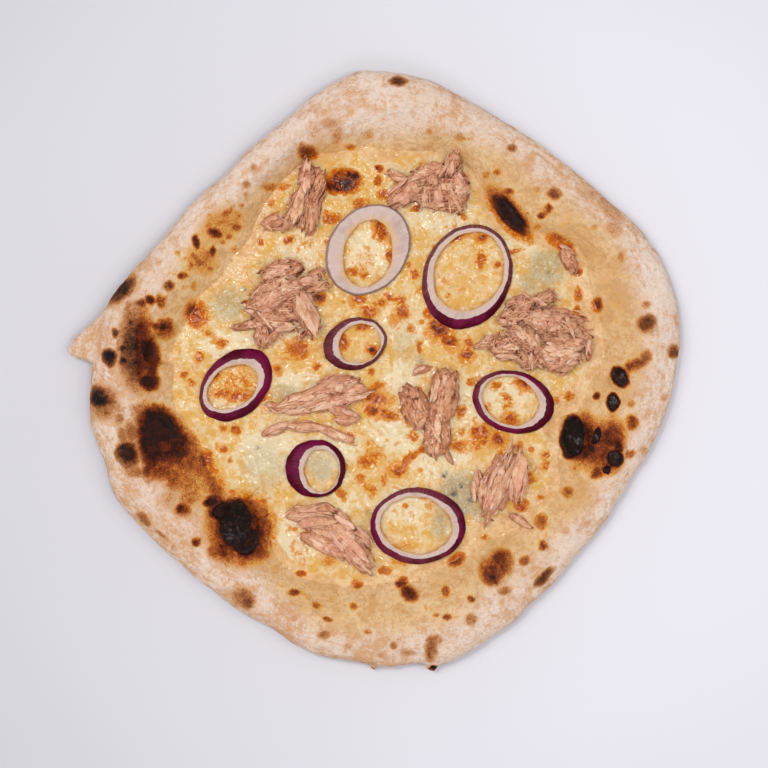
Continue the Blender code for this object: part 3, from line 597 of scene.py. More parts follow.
def slab_mesh(name, across, down):
    """A closed flat slab from -1 to 1 with a grid on top, and the numbers of its bottom's points."""
    bm = grid(across, down)
    bmesh.ops.extrude_edge_only(bm, edges=[edge for edge in bm.edges if edge.is_boundary])
    bm.verts.index_update()
    rim = [edge for edge in bm.edges if edge.is_boundary]
    low = sorted({vert.index for edge in rim for vert in edge.verts})
    bmesh.ops.holes_fill(bm, edges=rim)
    bmesh.ops.recalc_face_normals(bm, faces=bm.faces)
    return mesh_of(bm, name), low


def face_outwards(bm):
    if bm.calc_volume(signed=True) < 0:
        bmesh.ops.reverse_faces(bm, faces=bm.faces)


def merge_doubles(mesh):
    """Join the points that lie at one place, and turn the faces outwards."""
    bm = bmesh.new()
    bm.from_mesh(mesh)
    bmesh.ops.remove_doubles(bm, verts=bm.verts, dist=0.001 * MM)
    face_outwards(bm)
    bm.to_mesh(mesh)
    bm.free()


def give(mesh, name, values):
    """Keep a number or a vector for each point of the mesh, for its material to read."""
    values = np.asarray(values, np.float32)
    kind, key = ("FLOAT", "value") if values.ndim == 1 else ("FLOAT_VECTOR", "vector")
    mesh.attributes.new(name, kind, "POINT").data.foreach_set(key, values.ravel())


def show(name, mesh, material, node):
    """Put a finished piece in the scene in place of the frame's node."""
    piece = bpy.data.objects.new(name, mesh)
    bpy.context.scene.collection.objects.link(piece)
    mesh.materials.append(material)
    mesh.shade_smooth()
    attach(piece, "root")
    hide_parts(node)


class Pattern:
    """A number or a colour that changes over a surface, as its material's nodes work it out."""

    def __init__(self, socket):
        self.socket = socket
        self.tree = socket.id_data

    def sums(self, operation, other=0.0):
        return add(self.tree, "ShaderNodeMath", {0: self, 1: other}, operation=operation)

    def __add__(self, other):
        return self.sums("ADD", other)

    def __mul__(self, other):
        return self.sums("MULTIPLY", other)

    def __abs__(self):
        return self.sums("ABSOLUTE")

    def swing(self, times=1.0):
        """How far a noise is from its middle, times this."""
        return self.sums("SUBTRACT", 0.5) * times

    def rise(self, low, high, to_low=0.0, to_high=1.0):
        """A smooth rise from to_low to to_high as this goes from low to high."""
        links = {0: self, 1: low, 2: high, 3: to_low, 4: to_high}
        return add(self.tree, "ShaderNodeMapRange", links, interpolation_type="SMOOTHSTEP")

    def blend(self, first, second, how="MIX"):
        """The first colour where this is 0 and the second where it is 1."""
        return blend_colours(self.tree, self, first, second, how)

    def scale(self, *stops):
        """The colours of a scale through (place, colour) stops."""
        result = add(self.tree, "ShaderNodeValToRGB", {0: self})
        elements = result.socket.node.color_ramp.elements
        while len(elements) < len(stops):
            elements.new(1.0)
        for element, (place, shade) in zip(elements, stops):
            element.position = place
            element.color = (*shade, 1.0)
        return result


def add(tree, kind, links=None, output=0, **settings):
    """Add a node with its settings and what goes into its sockets, and read one of its outputs."""
    node = tree.nodes.new(kind)
    for key, value in settings.items():
        setattr(node, key, value)
    for socket, value in (links or {}).items():
        if isinstance(value, Pattern):
            tree.links.new(value.socket, node.inputs[socket])
        else:
            node.inputs[socket].default_value = value
    return Pattern(node.outputs[output])


def blend_colours(tree, share, first, second, how="MIX"):
    links = {0: share, 6: as_colour(first), 7: as_colour(second)}
    return add(tree, "ShaderNodeMix", links, output=2, data_type="RGBA", blend_type=how)


def as_colour(value):
    return value if isinstance(value, Pattern) else (*value, 1.0)


class Surface:
    """A material in the making, with its nodes, its shader and the object's own coordinates."""

    def __init__(self, name):
        self.material = bpy.data.materials.new(name)
        self.material.use_nodes = True
        self.tree = self.material.node_tree
        self.shader = self.tree.nodes["Principled BSDF"]
        self.place = add(self.tree, "ShaderNodeTexCoord", output="Object")

    def kept(self, name, output="Fac"):
        """What the mesh keeps for its points under this name."""
        return add(self.tree, "ShaderNodeAttribute", output=output, attribute_name=name)

    def grains(self, per_metre, detail=3.0, roughness=0.55, distortion=0.0, over=None):
        """Noise from 0 to 1, with this many grains to the metre."""
        links = {
            "Vector": over or self.place, "Scale": per_metre, "Detail": detail,
            "Roughness": roughness, "Distortion": distortion,
        }
        return add(self.tree, "ShaderNodeTexNoise", links)

    def shared_noises(self):
        return [self.grains(*kind) for kind in SHARED_NOISES]

    def dots(self, per_metre, share, size):
        """Small round dots in some of the cells of a scattered pattern."""
        links = {"Vector": self.place, "Scale": per_metre, "Randomness": 1.0}
        distance = add(self.tree, "ShaderNodeTexVoronoi", links, output="Distance")
        cell = Pattern(distance.socket.node.outputs["Color"])
        chance = add(self.tree, "ShaderNodeSeparateColor", {0: cell})
        return distance.rise(0.2 * size, size, 1.0, 0.0) * chance.rise(1 - share, 1.02 - share)

    def join(self, patterns):
        for name, pattern in patterns.items():
            self.tree.links.new(pattern.socket, self.shader.inputs[name])

    def finish(self, base, roughness, relief, height, shine, glow=0.0, glow_depth=(0.002, 0.001, 0.001)):
        """Join the patterns to the shader, the relief as bumps of this height in millimetres."""
        links = {"Strength": 1.0, "Distance": height * MM, "Height": relief}
        normal = add(self.tree, "ShaderNodeBump", links)
        self.join({"Base Color": base, "Roughness": roughness, "Normal": normal})
        self.shader.inputs["Specular IOR Level"].default_value = shine
        if glow:
            self.shader.inputs["Subsurface Weight"].default_value = glow
            self.shader.inputs["Subsurface Radius"].default_value = glow_depth
        return self.material


def oily_colour(colours, broad, lumps, fine):
    """Dough or thin cheese soaked in oil, the same on the crust and on the cheese where they meet."""
    pale = lumps.swing(1.5) + fine.swing(1.3) + broad.swing(1.0)
    base = pale.rise(-0.3, 0.35).blend(colours.oily_dark, colours.oily_dough)
    gold = lumps.swing(2.0) + broad.swing(-1.0) + fine.swing(1.6)
    return gold.rise(0.12, 0.55, 0.0, 0.7).blend(base, colours.golden)


def baked_dough(colours):
    made = Surface("baked dough")
    broad, lumps, fine, speck = made.shared_noises()
    streaks = made.grains(1.0, 5, roughness=0.6, distortion=0.5, over=made.kept("edgewise", "Vector"))
    bake = made.kept("bake")

    mottle = (lumps.swing(1.2) + fine.swing(1.1)) * bake.rise(0.4, 1.0, 1.0, 0.6) + 1.0
    grit = speck.swing(0.6) * bake.rise(0.02, 0.3)
    freckles = made.dots(95, share=0.2, size=0.34) * lumps.rise(0.4, 0.6, 0.1, 0.4)
    rusty = (lumps + streaks.swing() + broad.swing()).rise(0.55, 0.95, 0.0, 0.2)
    deep = bake * mottle + grit + freckles + rusty

    pale = streaks.swing(1.4) + lumps.swing(1.8) + broad.swing(1.4) + fine.swing(1.5)
    # The kept tan darkens the dry rim: partly real browning, partly painted shade on its left side.
    pale = pale + speck.swing(1.2) + made.kept("tan") * -0.9
    dry = pale.rise(-0.8, 0.25).blend(colours.dough_tan, colours.dough)
    powder = streaks.swing() + fine.swing(1.3) + speck.swing() + broad.swing(0.6)
    dry = (powder.rise(0.0, 0.35, 0.0, 0.6) * made.kept("flour")).blend(dry, colours.flour)
    dry = deep.rise(0.0, 0.32).blend(dry, deep.scale(
        (0.0, colours.dough_tan), (0.12, colours.dough_tan), (0.34, colours.dough_brown),
        (0.58, colours.dough_dark), (0.84, colours.dough_char), (1.0, colours.char),
    ))
    wet = deep.rise(0.03, 0.2).blend(oily_colour(colours, broad, lumps, fine), (deep * 0.8).scale(
        (0.0, colours.golden), (0.13, colours.golden), (0.27, colours.orange), (0.44, colours.brown),
        (0.68, colours.dark), (0.98, colours.char),
    ))
    soaked = made.kept("oil") + lumps.swing(0.7) + streaks.swing(0.4)
    base = (soaked + made.kept("scorch") * bake * 2.6).rise(0.1, 0.9).blend(dry, wet)
    # Thin lighter lines on the charred blisters: partly cracks, partly painted highlights on their glossy
    # wrinkles.
    crack_and_highlight_noise = made.grains(170, 2, roughness=0.5, distortion=1.2)
    cracks_and_painted_highlights = abs(crack_and_highlight_noise.swing()).rise(0.0, 0.04, 0.5, 0.0)
    base = (cracks_and_painted_highlights * bake.rise(0.95, 1.15)).blend(base, colours.dough_char)

    roughness = soaked.rise(0.2, 0.9, 0.8, 0.34) * bake.rise(0.8, 1.2, 1.0, 0.3)
    relief = lumps + fine * 0.8 + speck * 0.4 + streaks * 0.9
    return made.finish(base, roughness, relief * bake.rise(0.85, 1.15, 1.0, 0.15), height=1.0, shine=0.1)


def melted_cheese(colours):
    made = Surface("melted cheese")
    broad, lumps, fine, speck = made.shared_noises()
    bake = made.kept("bake")
    blue = made.kept("blue")
    halo = made.kept("halo")

    thick = made.kept("cream") * 0.5 + lumps.swing(2.2) + fine.swing(0.9) + speck.swing(0.3)
    base = thick.rise(-0.25, 0.45).blend(colours.cheese, colours.cream)
    gold = halo * 0.55 + broad.swing(0.9) + lumps.swing(2.4) + fine.swing(1.0)
    gold = gold.rise(0.2, 0.62, 0.0, 0.9) * blue.rise(0.1, 0.7, 1.0, 0.1)
    base = gold.blend(base, colours.cheese_gold)
    edge = made.kept("oil") + lumps.swing(1.1) + fine.swing(0.4)
    base = edge.rise(0.22, 0.78).blend(base, oily_colour(colours, broad, lumps, fine))
    base = (blue * fine.rise(0.3, 0.62, 0.6, 1.0) * 0.9).blend(base, colours.blue_cheese)
    # Painted glints: pale cream flecks in the blue patches stand in for the shine on their bubbly fat.
    painted_glints = blue * (fine + speck.swing(0.6)).rise(0.55, 0.68, 0.0, 0.8)
    base = painted_glints.blend(base, colours.cream)
    mould = made.kept("specks") * fine.rise(0.36, 0.6, 0.2, 1.0)
    base = mould.blend(base, colours.blue_speck)

    mottle = lumps.swing(2.4) + 1.0 + fine.swing(2.2)
    scatter = made.dots(120, share=0.2, size=0.36) * broad.rise(0.4, 0.6, 0.12, 0.42)
    grit = speck.swing(0.8) * bake.rise(0.05, 0.3)
    veins = made.grains(210, 4, roughness=0.6, distortion=0.9)
    veins = abs(veins.swing()).rise(0.0, 0.08, 0.26, 0.0) * (halo * 0.5 + broad.swing(1.6)).rise(0.0, 0.6)
    deep = bake * mottle + scatter + grit + veins
    base = deep.rise(0.1, 0.24).blend(base, deep.scale(
        (0.0, colours.cheese_gold), (0.2, colours.cheese_gold), (0.42, colours.cheese_orange),
        (0.72, colours.cheese_brown), (1.0, colours.dark),
    ))

    waves = made.grains(240, 1.0, roughness=0.4, distortion=0.6)
    beads = made.grains(560, 0.5, roughness=0.4, distortion=0.4) * blue.rise(0.1, 0.8, 0.15, 0.5)
    roughness = fine.rise(0.3, 0.7, 0.06, 0.16)
    return made.finish(base, roughness, waves * 0.7 + beads, height=1.4, shine=0.22)


def red_onion(colours):
    made = Surface("red onion")
    fine = made.grains(500)
    cloud = made.grains(110)
    fibre = made.kept("fibre")
    dry = made.kept("dryness") + cloud.swing(0.5)

    bright = (made.grains(42, 2) + cloud.swing(0.5)).rise(0.42, 0.6)
    purple = bright.blend(colours.onion_skin, colours.onion_bright)
    purple = dry.rise(0.1, 1.0).blend(purple, colours.onion_dry)
    stripes = fibre.rise(0.4, 0.95) * dry.rise(0.2, 0.9, 0.0, 0.7)
    purple = stripes.blend(purple, colours.onion_brown)

    flesh = fibre.rise(0.2, 1.0, 0.0, 0.2).blend(colours.onion_flesh, colours.onion_pale)
    flesh = cloud.rise(0.45, 0.75, 0.0, 0.25).blend(flesh, colours.onion_dry)
    clear = made.kept("clear") * cloud.rise(0.3, 0.6, 0.4, 1.0)
    flesh = clear.blend(flesh, colours.onion_clear)

    base = made.kept("skin").rise(0.35, 0.65).blend(flesh, purple)
    roughness = fine.rise(0.3, 0.7, 0.26, 0.42)
    return made.finish(base, roughness, fibre * 0.6 + fine * 0.4, height=0.3, shine=0.08, glow=0.1)


def flaked_tuna(colours):
    made = Surface("flaked tuna")
    fibres = made.grains(1.0, 4, roughness=0.65, over=made.kept("grain", "Vector"))
    broad = made.grains(90, 2)
    cloud = made.grains(320, 3, roughness=0.6)
    fine = made.grains(1200)

    # The kept tone carries painted shade from the meat's relief; the noises add random tone.
    tone = made.kept("tone") + fibres.swing(0.9) + cloud.swing(1.1) + fine.swing(0.5)
    base = tone.scale(
        (0.05, colours.tuna_dark), (0.27, colours.tuna_brown), (0.52, colours.tuna),
        (0.85, colours.tuna_light), (1.0, colours.tuna_pale),
    )
    pink = (broad + fibres.swing(0.5)).rise(0.42, 0.66, 0.0, 0.5)
    base = pink.blend(base, colours.tuna_pink, "MULTIPLY")

    roughness = fine.rise(0.3, 0.7, 0.3, 0.5)
    relief = fibres * 0.7 + cloud * 0.6 + fine * 0.4
    return made.finish(base, roughness, relief, 0.5, 0.18, glow=0.08, glow_depth=(0.002, 0.001, 0.0006))


def rim_section(share):
    """Inward and upward shares at each share of the way along the rim's section, smoothly."""
    path = np.array(RIM_PATH)
    at = share * (len(path) - 1)
    start = np.clip(at.astype(int), 0, len(path) - 2)
    return curve(path, np.gradient(path, axis=0), start, (at - start)[:, None])


def blister_height(x, y):
    """Rise of the charred blisters over the crust, with their wrinkles."""
    height = np.zeros_like(x)
    for blister_x, blister_y, half_length, half_width, turn, rise in BLISTERS:
        near = np.nonzero(np.hypot(x - blister_x, y - blister_y) < 1.2 * half_length)[0]
        right = x[near] - blister_x
        ahead = y[near] - blister_y
        along, aside = turned(right, ahead, turn)
        along = along / half_length
        aside = aside / half_width
        wrinkle = np.abs(ripple(right + 0.5 * ahead, ahead * 0.7, 3.2, blister_x))
        dome = np.sqrt(np.clip(1 - 0.82 * (along**2 + aside**2), 0, 1))
        fade = 1 - smooth(0.9, 1.15, np.hypot(along, aside))
        height[near] = np.maximum(height[near], (rise * dome - 0.22 * rise * wrinkle) * fade)
    return height


def crust_points(degrees, share, lumps):
    """Points of the dressed rim, in millimetres, at angles and shares of the way along its section."""
    inward, up = rim_section(share).T
    outer = around(EDGE, degrees)
    turn = np.radians(degrees)
    radius = outer - inward * (outer - around(FOOT, degrees))
    rows = len(RIM_PATH) - 1
    low = np.where(share * rows > CREST_ROW, DOUGH, 0.0)
    swell = ripples(*polar(radius, turn), RIM_SWELL)
    height = low + (around(CREST, degrees) - low) * up + up * swell
    for table, middle, half_thickness in TONGUES:
        at, push = np.array(table, float).T
        radius = radius + np.interp(degrees, at, push) * np.exp(-(((height - middle) / half_thickness) ** 2))
    x, y = polar(radius, turn)
    relief = ripples(x, y + height, RIM_LUMPS) + ripples(x + height, y, RIM_CROSS_LUMPS)
    crease = 1 - np.abs(ripple_round(turn, 5, (radius + 1.5 * height) / 3.4)) / 0.14
    creased = (1 - smooth(0.45, 0.62, share)) * smooth(0.2, 0.3, share)
    relief -= 1.3 * np.clip(crease, 0, 1) * creased * smooth(-0.2, 0.3, ripple(x, y, 30, 2.2))
    relief *= lumps * (smooth(0.03, 0.16, share) * (1 - smooth(0.94, 1.0, share)))
    steep = np.clip(1 - np.abs(share - WIDEST_ROW / rows) * 6, 0, 1)
    x, y = polar(radius + steep * relief, turn)
    height = height + (1 - steep) * relief + smooth(0.3, 0.5, share) * blister_height(x, y)
    return np.column_stack((x, y, np.maximum(height, 0)))


class PIZZA_OT_crust(bpy.types.Operator):
    """Make the baked crust with its puffy rim, blisters and charred spots"""

    bl_idname = "pizza.crust"
    bl_label = "Crust"

    underside_rows = 8

    def execute(self, context):
        sizes = context.scene.pizza_sizes
        rows = self.underside_rows + sizes.rim_rows + 1
        mesh = mesh_of(grid(sizes.crust_steps, rows), "baked_crust")
        column, row = grid_numbers(mesh, sizes.crust_steps, rows)
        degrees = np.mod(column, sizes.crust_steps) * 360 / sizes.crust_steps
        share = np.clip((row - 1 - self.underside_rows) / (sizes.rim_rows - 1), 0, 1)
        points = crust_points(degrees, share, sizes.lumps / MM)
        under = row <= self.underside_rows
        points[under] *= (row[under] / (self.underside_rows + 1))[:, None]
        points[under, 2] = 0
        points[row == rows] = (0, 0, DOUGH)
        place_points(mesh, points)
        self.bake(mesh, points, degrees, share)
        merge_doubles(mesh)
        show("baked_crust", mesh, baked_dough(context.scene.pizza_colours), "crust")
        return {"FINISHED"}

    def bake(self, mesh, points, degrees, share):
        """Keep how baked, oily, floury, scorched and tanned the crust is at each of its points; the tan also
        carries painted shade.
        """
        x, y, z = points.T
        bake = spots(CRUST_SPOTS, *uneven(x, y)) * smooth(0.2, 0.3, share)
        beneath = spots(UNDERSIDE, x, y) + 0.5 * ripple(x, y, 22, 6.6)
        give(mesh, "bake", np.where(share > 0.2, bake, np.clip(beneath, 0, 1)))
        reach = around(OIL_REACH, degrees) + 0.1 * ripple(x, y, 18, 7.7)
        inward = 1 - rim_section(share)[:, 0]
        oil = (1 - smooth(reach - 0.3, reach + 0.35, inward)) * (share > 0.5)
        give(mesh, "oil", oil)
        give(mesh, "flour", (1 - oil) * smooth(-0.2, 0.5, ripple(x, y, 30, 9.9)))
        give(mesh, "scorch", spots(SCORCHED, x, y, core=0.6))
        give(mesh, "tan", around(TANNED_AND_SHADED, degrees) * (1 - 0.4 * smooth(0.1, 0.5, inward)))
        inside = (around(EDGE, degrees) - np.hypot(x, y)) / 3.2 + z / 5
        give(mesh, "edgewise", np.column_stack((*polar(13, np.radians(degrees)), inside)))


class PIZZA_OT_cheese(bpy.types.Operator):
    """Make the sheet of melted cheese with its browned spots and grey-green patches"""

    bl_idname = "pizza.cheese"
    bl_label = "Cheese"

    # How far the sheet reaches past the foot of the rim, and how far its underside lies over the dough
    overlap = 6.0
    lift = 0.05

    def execute(self, context):
        sizes = context.scene.pizza_sizes
        mesh, low = slab_mesh("cheese_sheet", sizes.cheese_steps, sizes.cheese_steps)
        u, v = points_of(mesh)[:, :2].T
        wide = np.abs(u) > np.abs(v)
        out = np.where(wide, u, v)
        safe = np.where(np.abs(out) < 1e-9, 1, out)
        turn = np.where(wide, math.pi / 4 * v / safe, math.pi / 2 - math.pi / 4 * u / safe)
        x, y = polar(out, turn)
        out = np.hypot(x, y)
        degrees = np.degrees(np.arctan2(y, x))
        edge = around(FOOT, degrees) + self.overlap
        edge += 2.4 * ripple_round(turn, 9, 2.8) + ripple_round(turn, 24, 6.1)
        x = x * edge
        y = y * edge
        wavy = uneven(x, y)
        browned = 0.8 * spots(CHEESE_SPOTS, *wavy, core=0.5, edge=1.25)
        bake = np.maximum(browned, spots(CRUST_SPOTS, *wavy))
        thickness = CHEESE + ripples(x, y, CHEESE_SWELL)
        for bubble_x, bubble_y, half_width, rise in CHEESE_BUBBLES:
            near = 1 - ((x - bubble_x) ** 2 + (y - bubble_y) ** 2) / half_width**2
            thickness += rise * np.clip(near, 0, 1)
        relief = sizes.cheese_lumps / MM * ripples(x, y, CHEESE_LUMPS) + 0.5 * np.minimum(bake, 0.8)
        height = DOUGH + GAP + (1 - 0.9 * smooth(0.85, 1.0, out)) * (thickness + relief)
        height[low] = DOUGH + self.lift
        place_points(mesh, np.column_stack((x, y, height)))
        thin = around(THIN_CHEESE, degrees)
        give(mesh, "bake", bake)
        give(mesh, "halo", np.minimum(2 * spots(CHEESE_SPOTS, *wavy, core=0.5, edge=2.5), 1))
        give(mesh, "blue", spots(BLUE_PATCHES, *wavy, core=0.4, edge=1.3))
        give(mesh, "specks", spots(BLUE_SPECKS, *wavy))
        give(mesh, "cream", spots(CREAM_PATCHES, *wavy, core=0.5, edge=1.3))
        give(mesh, "oil", smooth(1 - thin, 1 - 0.3 * thin, out + 0.05 * ripple(x, y, 14, 4.4)))
        show("cheese_sheet", mesh, melted_cheese(context.scene.pizza_colours), "melted_cheese")
        return {"FINISHED"}


def height_over(*names):
    """The height in millimetres of the highest of these pieces at a point, 0 beside them."""
    bpy.context.view_layer.update()
    graph = bpy.context.evaluated_depsgraph_get()
    trees = [BVHTree.FromObject(bpy.data.objects[name], graph) for name in names]

    def height(x, y):
        start = Vector((x * MM, y * MM, 1))
        hits = [tree.ray_cast(start, Vector((0, 0, -1)))[0] for tree in trees]
        return max((hit.z / MM for hit in hits if hit is not None), default=0.0)

    return height


def oval_points(oval, degrees):
    low_x, high_x, low_y, high_y, lean = oval
    x = (low_x + high_x) / 2 + (high_x - low_x) / 2 * np.cos(np.radians(degrees))
    y = (low_y + high_y) / 2 + (high_y - low_y) / 2 * np.sin(np.radians(degrees + lean))
    return np.column_stack((x, y))


class PIZZA_OT_onion(bpy.types.Operator):
    """Make the red onion rings, with purple skin outside and a pale cut face"""

    bl_idname = "pizza.onion"
    bl_label = "Onion rings"

    section_points = 34
    seed = 5

    # Corners of the section between which the hole's side comes in, and goes out again
    hole_from = (8, 12)
    hole_to = (14, 15.5)

    # Corners between which the flesh turns clear
    clear_from = (9.5, 13)

    # Degrees between the places where the cheese's height is read, and how many are evened out
    rest_step = 6
    rest_span = 9

    def spun_ring(self, steps):
        """A ring spun from a round section, with the number in the section and the angle of each point."""
        bm = bmesh.new()
        corner = bm.verts.layers.int.new("corner")
        loop = []
        for index in range(self.section_points):
            turn = 2 * math.pi * index / self.section_points
            vert = bm.verts.new((10 + math.cos(turn), 0, math.sin(turn)))
            vert[corner] = index
            loop.append(vert)
        edges = [bm.edges.new((loop[i - 1], loop[i])) for i in range(len(loop))]
        bmesh.ops.spin(
            bm, geom=loop + edges, cent=(0, 0, 0), axis=(0, 0, 1), angle=2 * math.pi,
            steps=steps, use_merge=True,
        )
        places = np.array([vert.co for vert in bm.verts])
        index = np.array([vert[corner] for vert in bm.verts])
        return bm, index, np.degrees(np.arctan2(places[:, 1], places[:, 0]))

    def ring_mesh(self, name, ovals, skin_depth, dryness, steps, height, draw):
        bm, index, degrees = self.spun_ring(steps)
        at = index / self.section_points * len(ONION_SECTION)
        start = at.astype(int)
        share = (at - start)[:, None]
        corners = self.corner_places(ovals, degrees, height)
        every = np.arange(len(at))
        following = (start + 1) % len(ONION_SECTION)
        points = corners[start, every] * (1 - share) + corners[following, every] * share
        turn = np.radians(degrees)
        layer = draw.uniform(0, 50)
        middle = oval_points(ovals[1], degrees)
        outward = middle - middle.mean(axis=0)
        outward /= np.linalg.norm(outward, axis=1)[:, None]
        inside = smooth(*self.hole_from, at) * (1 - smooth(*self.hole_to, at))
        for side, depth, strength in ((1 - inside, 0, 1.0), (inside, 4, 1.3)):
            wobble = 0.5 * ripple_round(turn, 2.4, layer + depth)
            wobble += 0.22 * ripple_round(turn, 7, layer + depth)
            points[:, :2] += outward * (side * strength * wobble)[:, None]
        points[:, 2] += 0.12 * ripple(points[:, 0], points[:, 1], 3, layer)
        for vert, point in zip(bm.verts, points):
            vert.co = point * MM
        face_outwards(bm)
        mesh = mesh_of(bm, name)
        ragged = at + 0.9 * ripple_round(turn, 8, layer + 5)
        give(mesh, "skin", skin_depth * (1 - smooth(SKIN_END - 0.5, SKIN_END + 0.5, ragged)))
        give(mesh, "dryness", around(dryness, degrees))
        give(mesh, "clear", smooth(*self.clear_from, ragged))
        fibre = 0.5 + 0.5 * ripple_round(turn, 26, layer + 7)
        give(mesh, "fibre", fibre + 0.3 * ripple_round(turn, 70, layer + 9))
        return mesh

    def corner_places(self, ovals, degrees, height):
        """Where each corner of the section lies at each angle."""
        flat = [oval_points(oval, degrees) for oval in ovals]
        rest = self.rest_of(ovals, degrees, height)
        corners = []
        for first, second, share, up in ONION_SECTION:
            spot = flat[first] * (1 - share) + flat[second] * share
            corners.append(np.column_stack((spot, rest + up * ONION)))
        return np.array(corners)

    def rest_of(self, ovals, degrees, height):
        """The cheese's height round the ring, evened out as a stiff ring lies on it."""
        turns = np.arange(0, 360, self.rest_step)
        heights = [height(x, y) for x, y in oval_points(ovals[1], turns)]
        calm = np.convolve(heights * 3, np.ones(self.rest_span) / self.rest_span, "same")
        once_round = calm[len(turns):2 * len(turns) + 1]
        return np.interp(np.mod(degrees, 360), np.append(turns, 360), once_round)

    def execute(self, context):
        steps = context.scene.pizza_sizes.ring_steps
        material = red_onion(context.scene.pizza_colours)
        height = height_over("baked_crust", "cheese_sheet")
        draw = np.random.default_rng(self.seed)
        for number, (ovals, depth, dryness) in enumerate(zip(ONION_RINGS, SKIN_DEPTH, SKIN_DRYNESS), 1):
            name = f"onion_slice_{number}"
            mesh = self.ring_mesh(name, ovals, depth, dryness, steps, height, draw)
            show(name, mesh, material, f"onion_ring_{number}")
        return {"FINISHED"}


class PIZZA_OT_tuna(bpy.types.Operator):
    """Make the clumps of tuna: ridged and pitted meat with leaves, slivers and crumbs on it"""

    bl_idname = "pizza.tuna"
    bl_label = "Tuna"

    # Step between the meat's points, room left round its lobes, and how far it dips into the cheese
    step = 0.45
    margin = 2.0
    sunk = 1.3

    # Lowest that any of the meat reaches, which keeps it over the dough's underside
    lowest = 1.0

    # Tone where no lobe reaches, and how many fibres of the noise lie on a millimetre each way
    plain_tone = 0.62
    fibres_along = 0.12
    fibres_across = 1.2

    # How much each kind of piece may tip over, in degrees
    tip = {"crumb": 14, "sliver": 14, "leaf": 6, "large leaf": 3}

    # Faces round and along each kind of piece
    faces = {"crumb": (7, 6), "sliver": (7, 6), "leaf": (9, 7), "large leaf": (20, 14)}

    def pattern(self, sides, rows):
        """A ball-shaped mesh with its grain along X, which flakes are bent from, and its points."""
        bm = bmesh.new()
        bmesh.ops.create_uvsphere(bm, u_segments=sides, v_segments=rows, radius=1)
        bmesh.ops.rotate(bm, matrix=Matrix.Rotation(math.pi / 2, 3, "Y"), verts=bm.verts)
        mesh = mesh_of(bm, "flake")
        return mesh, points_of(mesh).T

    def meat(self, lobes, look, x, y, draw):
        """Height of the meat over the cheese at each point, with its tone, which carries painted shade, and
        its grain.
        """
        ridges, lumps, pits, tones = TUNA_LOOKS[look][:4]
        height = np.full(len(x), -self.sunk)
        tone = np.full(len(x), self.plain_tone)
        grain = np.zeros((len(x), 3))
        for lobe_x, lobe_y, length, width, direction, rise in lobes:
            layer = draw.uniform(0, 90)
            shade = draw.uniform(*tones)
            near = np.nonzero(np.hypot(x - lobe_x, y - lobe_y) < 0.6 * max(length, width))[0]
            along, aside = turned(x[near] - lobe_x, y[near] - lobe_y, direction)
            aside = aside + 0.9 * ripple(along, aside, 7, layer)
            strand = ripple(along / 5, aside, 1.7, layer + 3)
            hair = ripple(along / 4, aside, 0.8, layer + 5)
            bump = ripple(along, aside, 3.2, layer + 9)
            hole = pits * smooth(0.2, 0.5, ripple(along / 1.5, aside, 1.9, layer + 13))
            end = np.abs(2 * along / length)
            out = np.hypot(end, 2 * aside / width) + 0.16 * bump + 0.3 * strand * end**2
            dome = rise * np.sqrt(np.clip(1 - out**2, 0, 1))
            relief = ridges * (0.9 * strand + 0.8 * hair) + 1.3 * lumps * bump - 0.7 * hole
            found = (1 - smooth(0.9, 1.08, out)) * (dome + 0.5 + self.sunk + relief) - self.sunk
            # Painted shade: the tone is lighter on ridges and bumps, darker in the pits, and darker towards
            # the lobe's edge where the meat dips into the cheese.
            light = shade + 0.2 * strand + 0.2 * hair + 0.2 * bump - 0.4 * hole
            light = light - 0.06 * smooth(0.75, 1.0, out)
            fibre = (along * self.fibres_along, aside * self.fibres_across, 0 * along + layer)
            higher = found > height[near]
            chosen = near[higher]
            height[chosen] = found[higher]
            tone[chosen] = light[higher]
            grain[chosen] = np.column_stack(fibre)[higher]
        return height, tone, grain

    def start_clump(self, name, lobes, look, base, draw):
        """The clump's meat, as one closed mesh that dips into the cheese all round."""
        x, y, length, width = np.array(lobes)[:, :4].T
        reach = np.maximum(length, width) / 2
        self.low_x = (x - reach).min() - self.margin
        self.low_y = (y - reach).min() - self.margin
        across = round(((x + reach).max() + self.margin - self.low_x) / self.step)
        down = round(((y + reach).max() + self.margin - self.low_y) / self.step)
        mesh, low = slab_mesh(name, across, down)
        columns, rows = grid_numbers(mesh, across, down)
        place = (rows * (across + 1) + columns).astype(int)
        grid_x, grid_y = np.meshgrid(np.arange(across + 1), np.arange(down + 1))
        grid_x = self.low_x + self.step * grid_x.ravel()
        grid_y = self.low_y + self.step * grid_y.ravel()
        rest = np.array([base(*spot) for spot in zip(grid_x, grid_y)])
        height, tone, grain = self.meat(lobes, look, grid_x, grid_y, draw)
        self.rest = rest.reshape(down + 1, across + 1)
        self.field = (rest + height).reshape(down + 1, across + 1)
        self.slopes = self.slopes_of(self.field)
        z = self.field.ravel()[place]
        z[low] = max(rest.min() - self.sunk - 0.4, self.lowest)
        place_points(mesh, np.column_stack((grid_x[place], grid_y[place], z)))
        self.tones = [tone[place]]
        self.grains = [grain[place]]
        self.clump = bmesh.new()
        self.clump.from_mesh(mesh)
        bpy.data.meshes.remove(mesh)

    def slopes_of(self, field):
        """The slopes of the meat with its small bumps evened out, which the pieces on it follow."""
        for _ in range(3):
            shifted = [np.roll(field, shift, axis) for axis in (0, 1) for shift in (2, -2)]
            field = sum(shifted, field) / 5
        return np.clip(np.gradient(field, self.step), -1.1, 1.1)

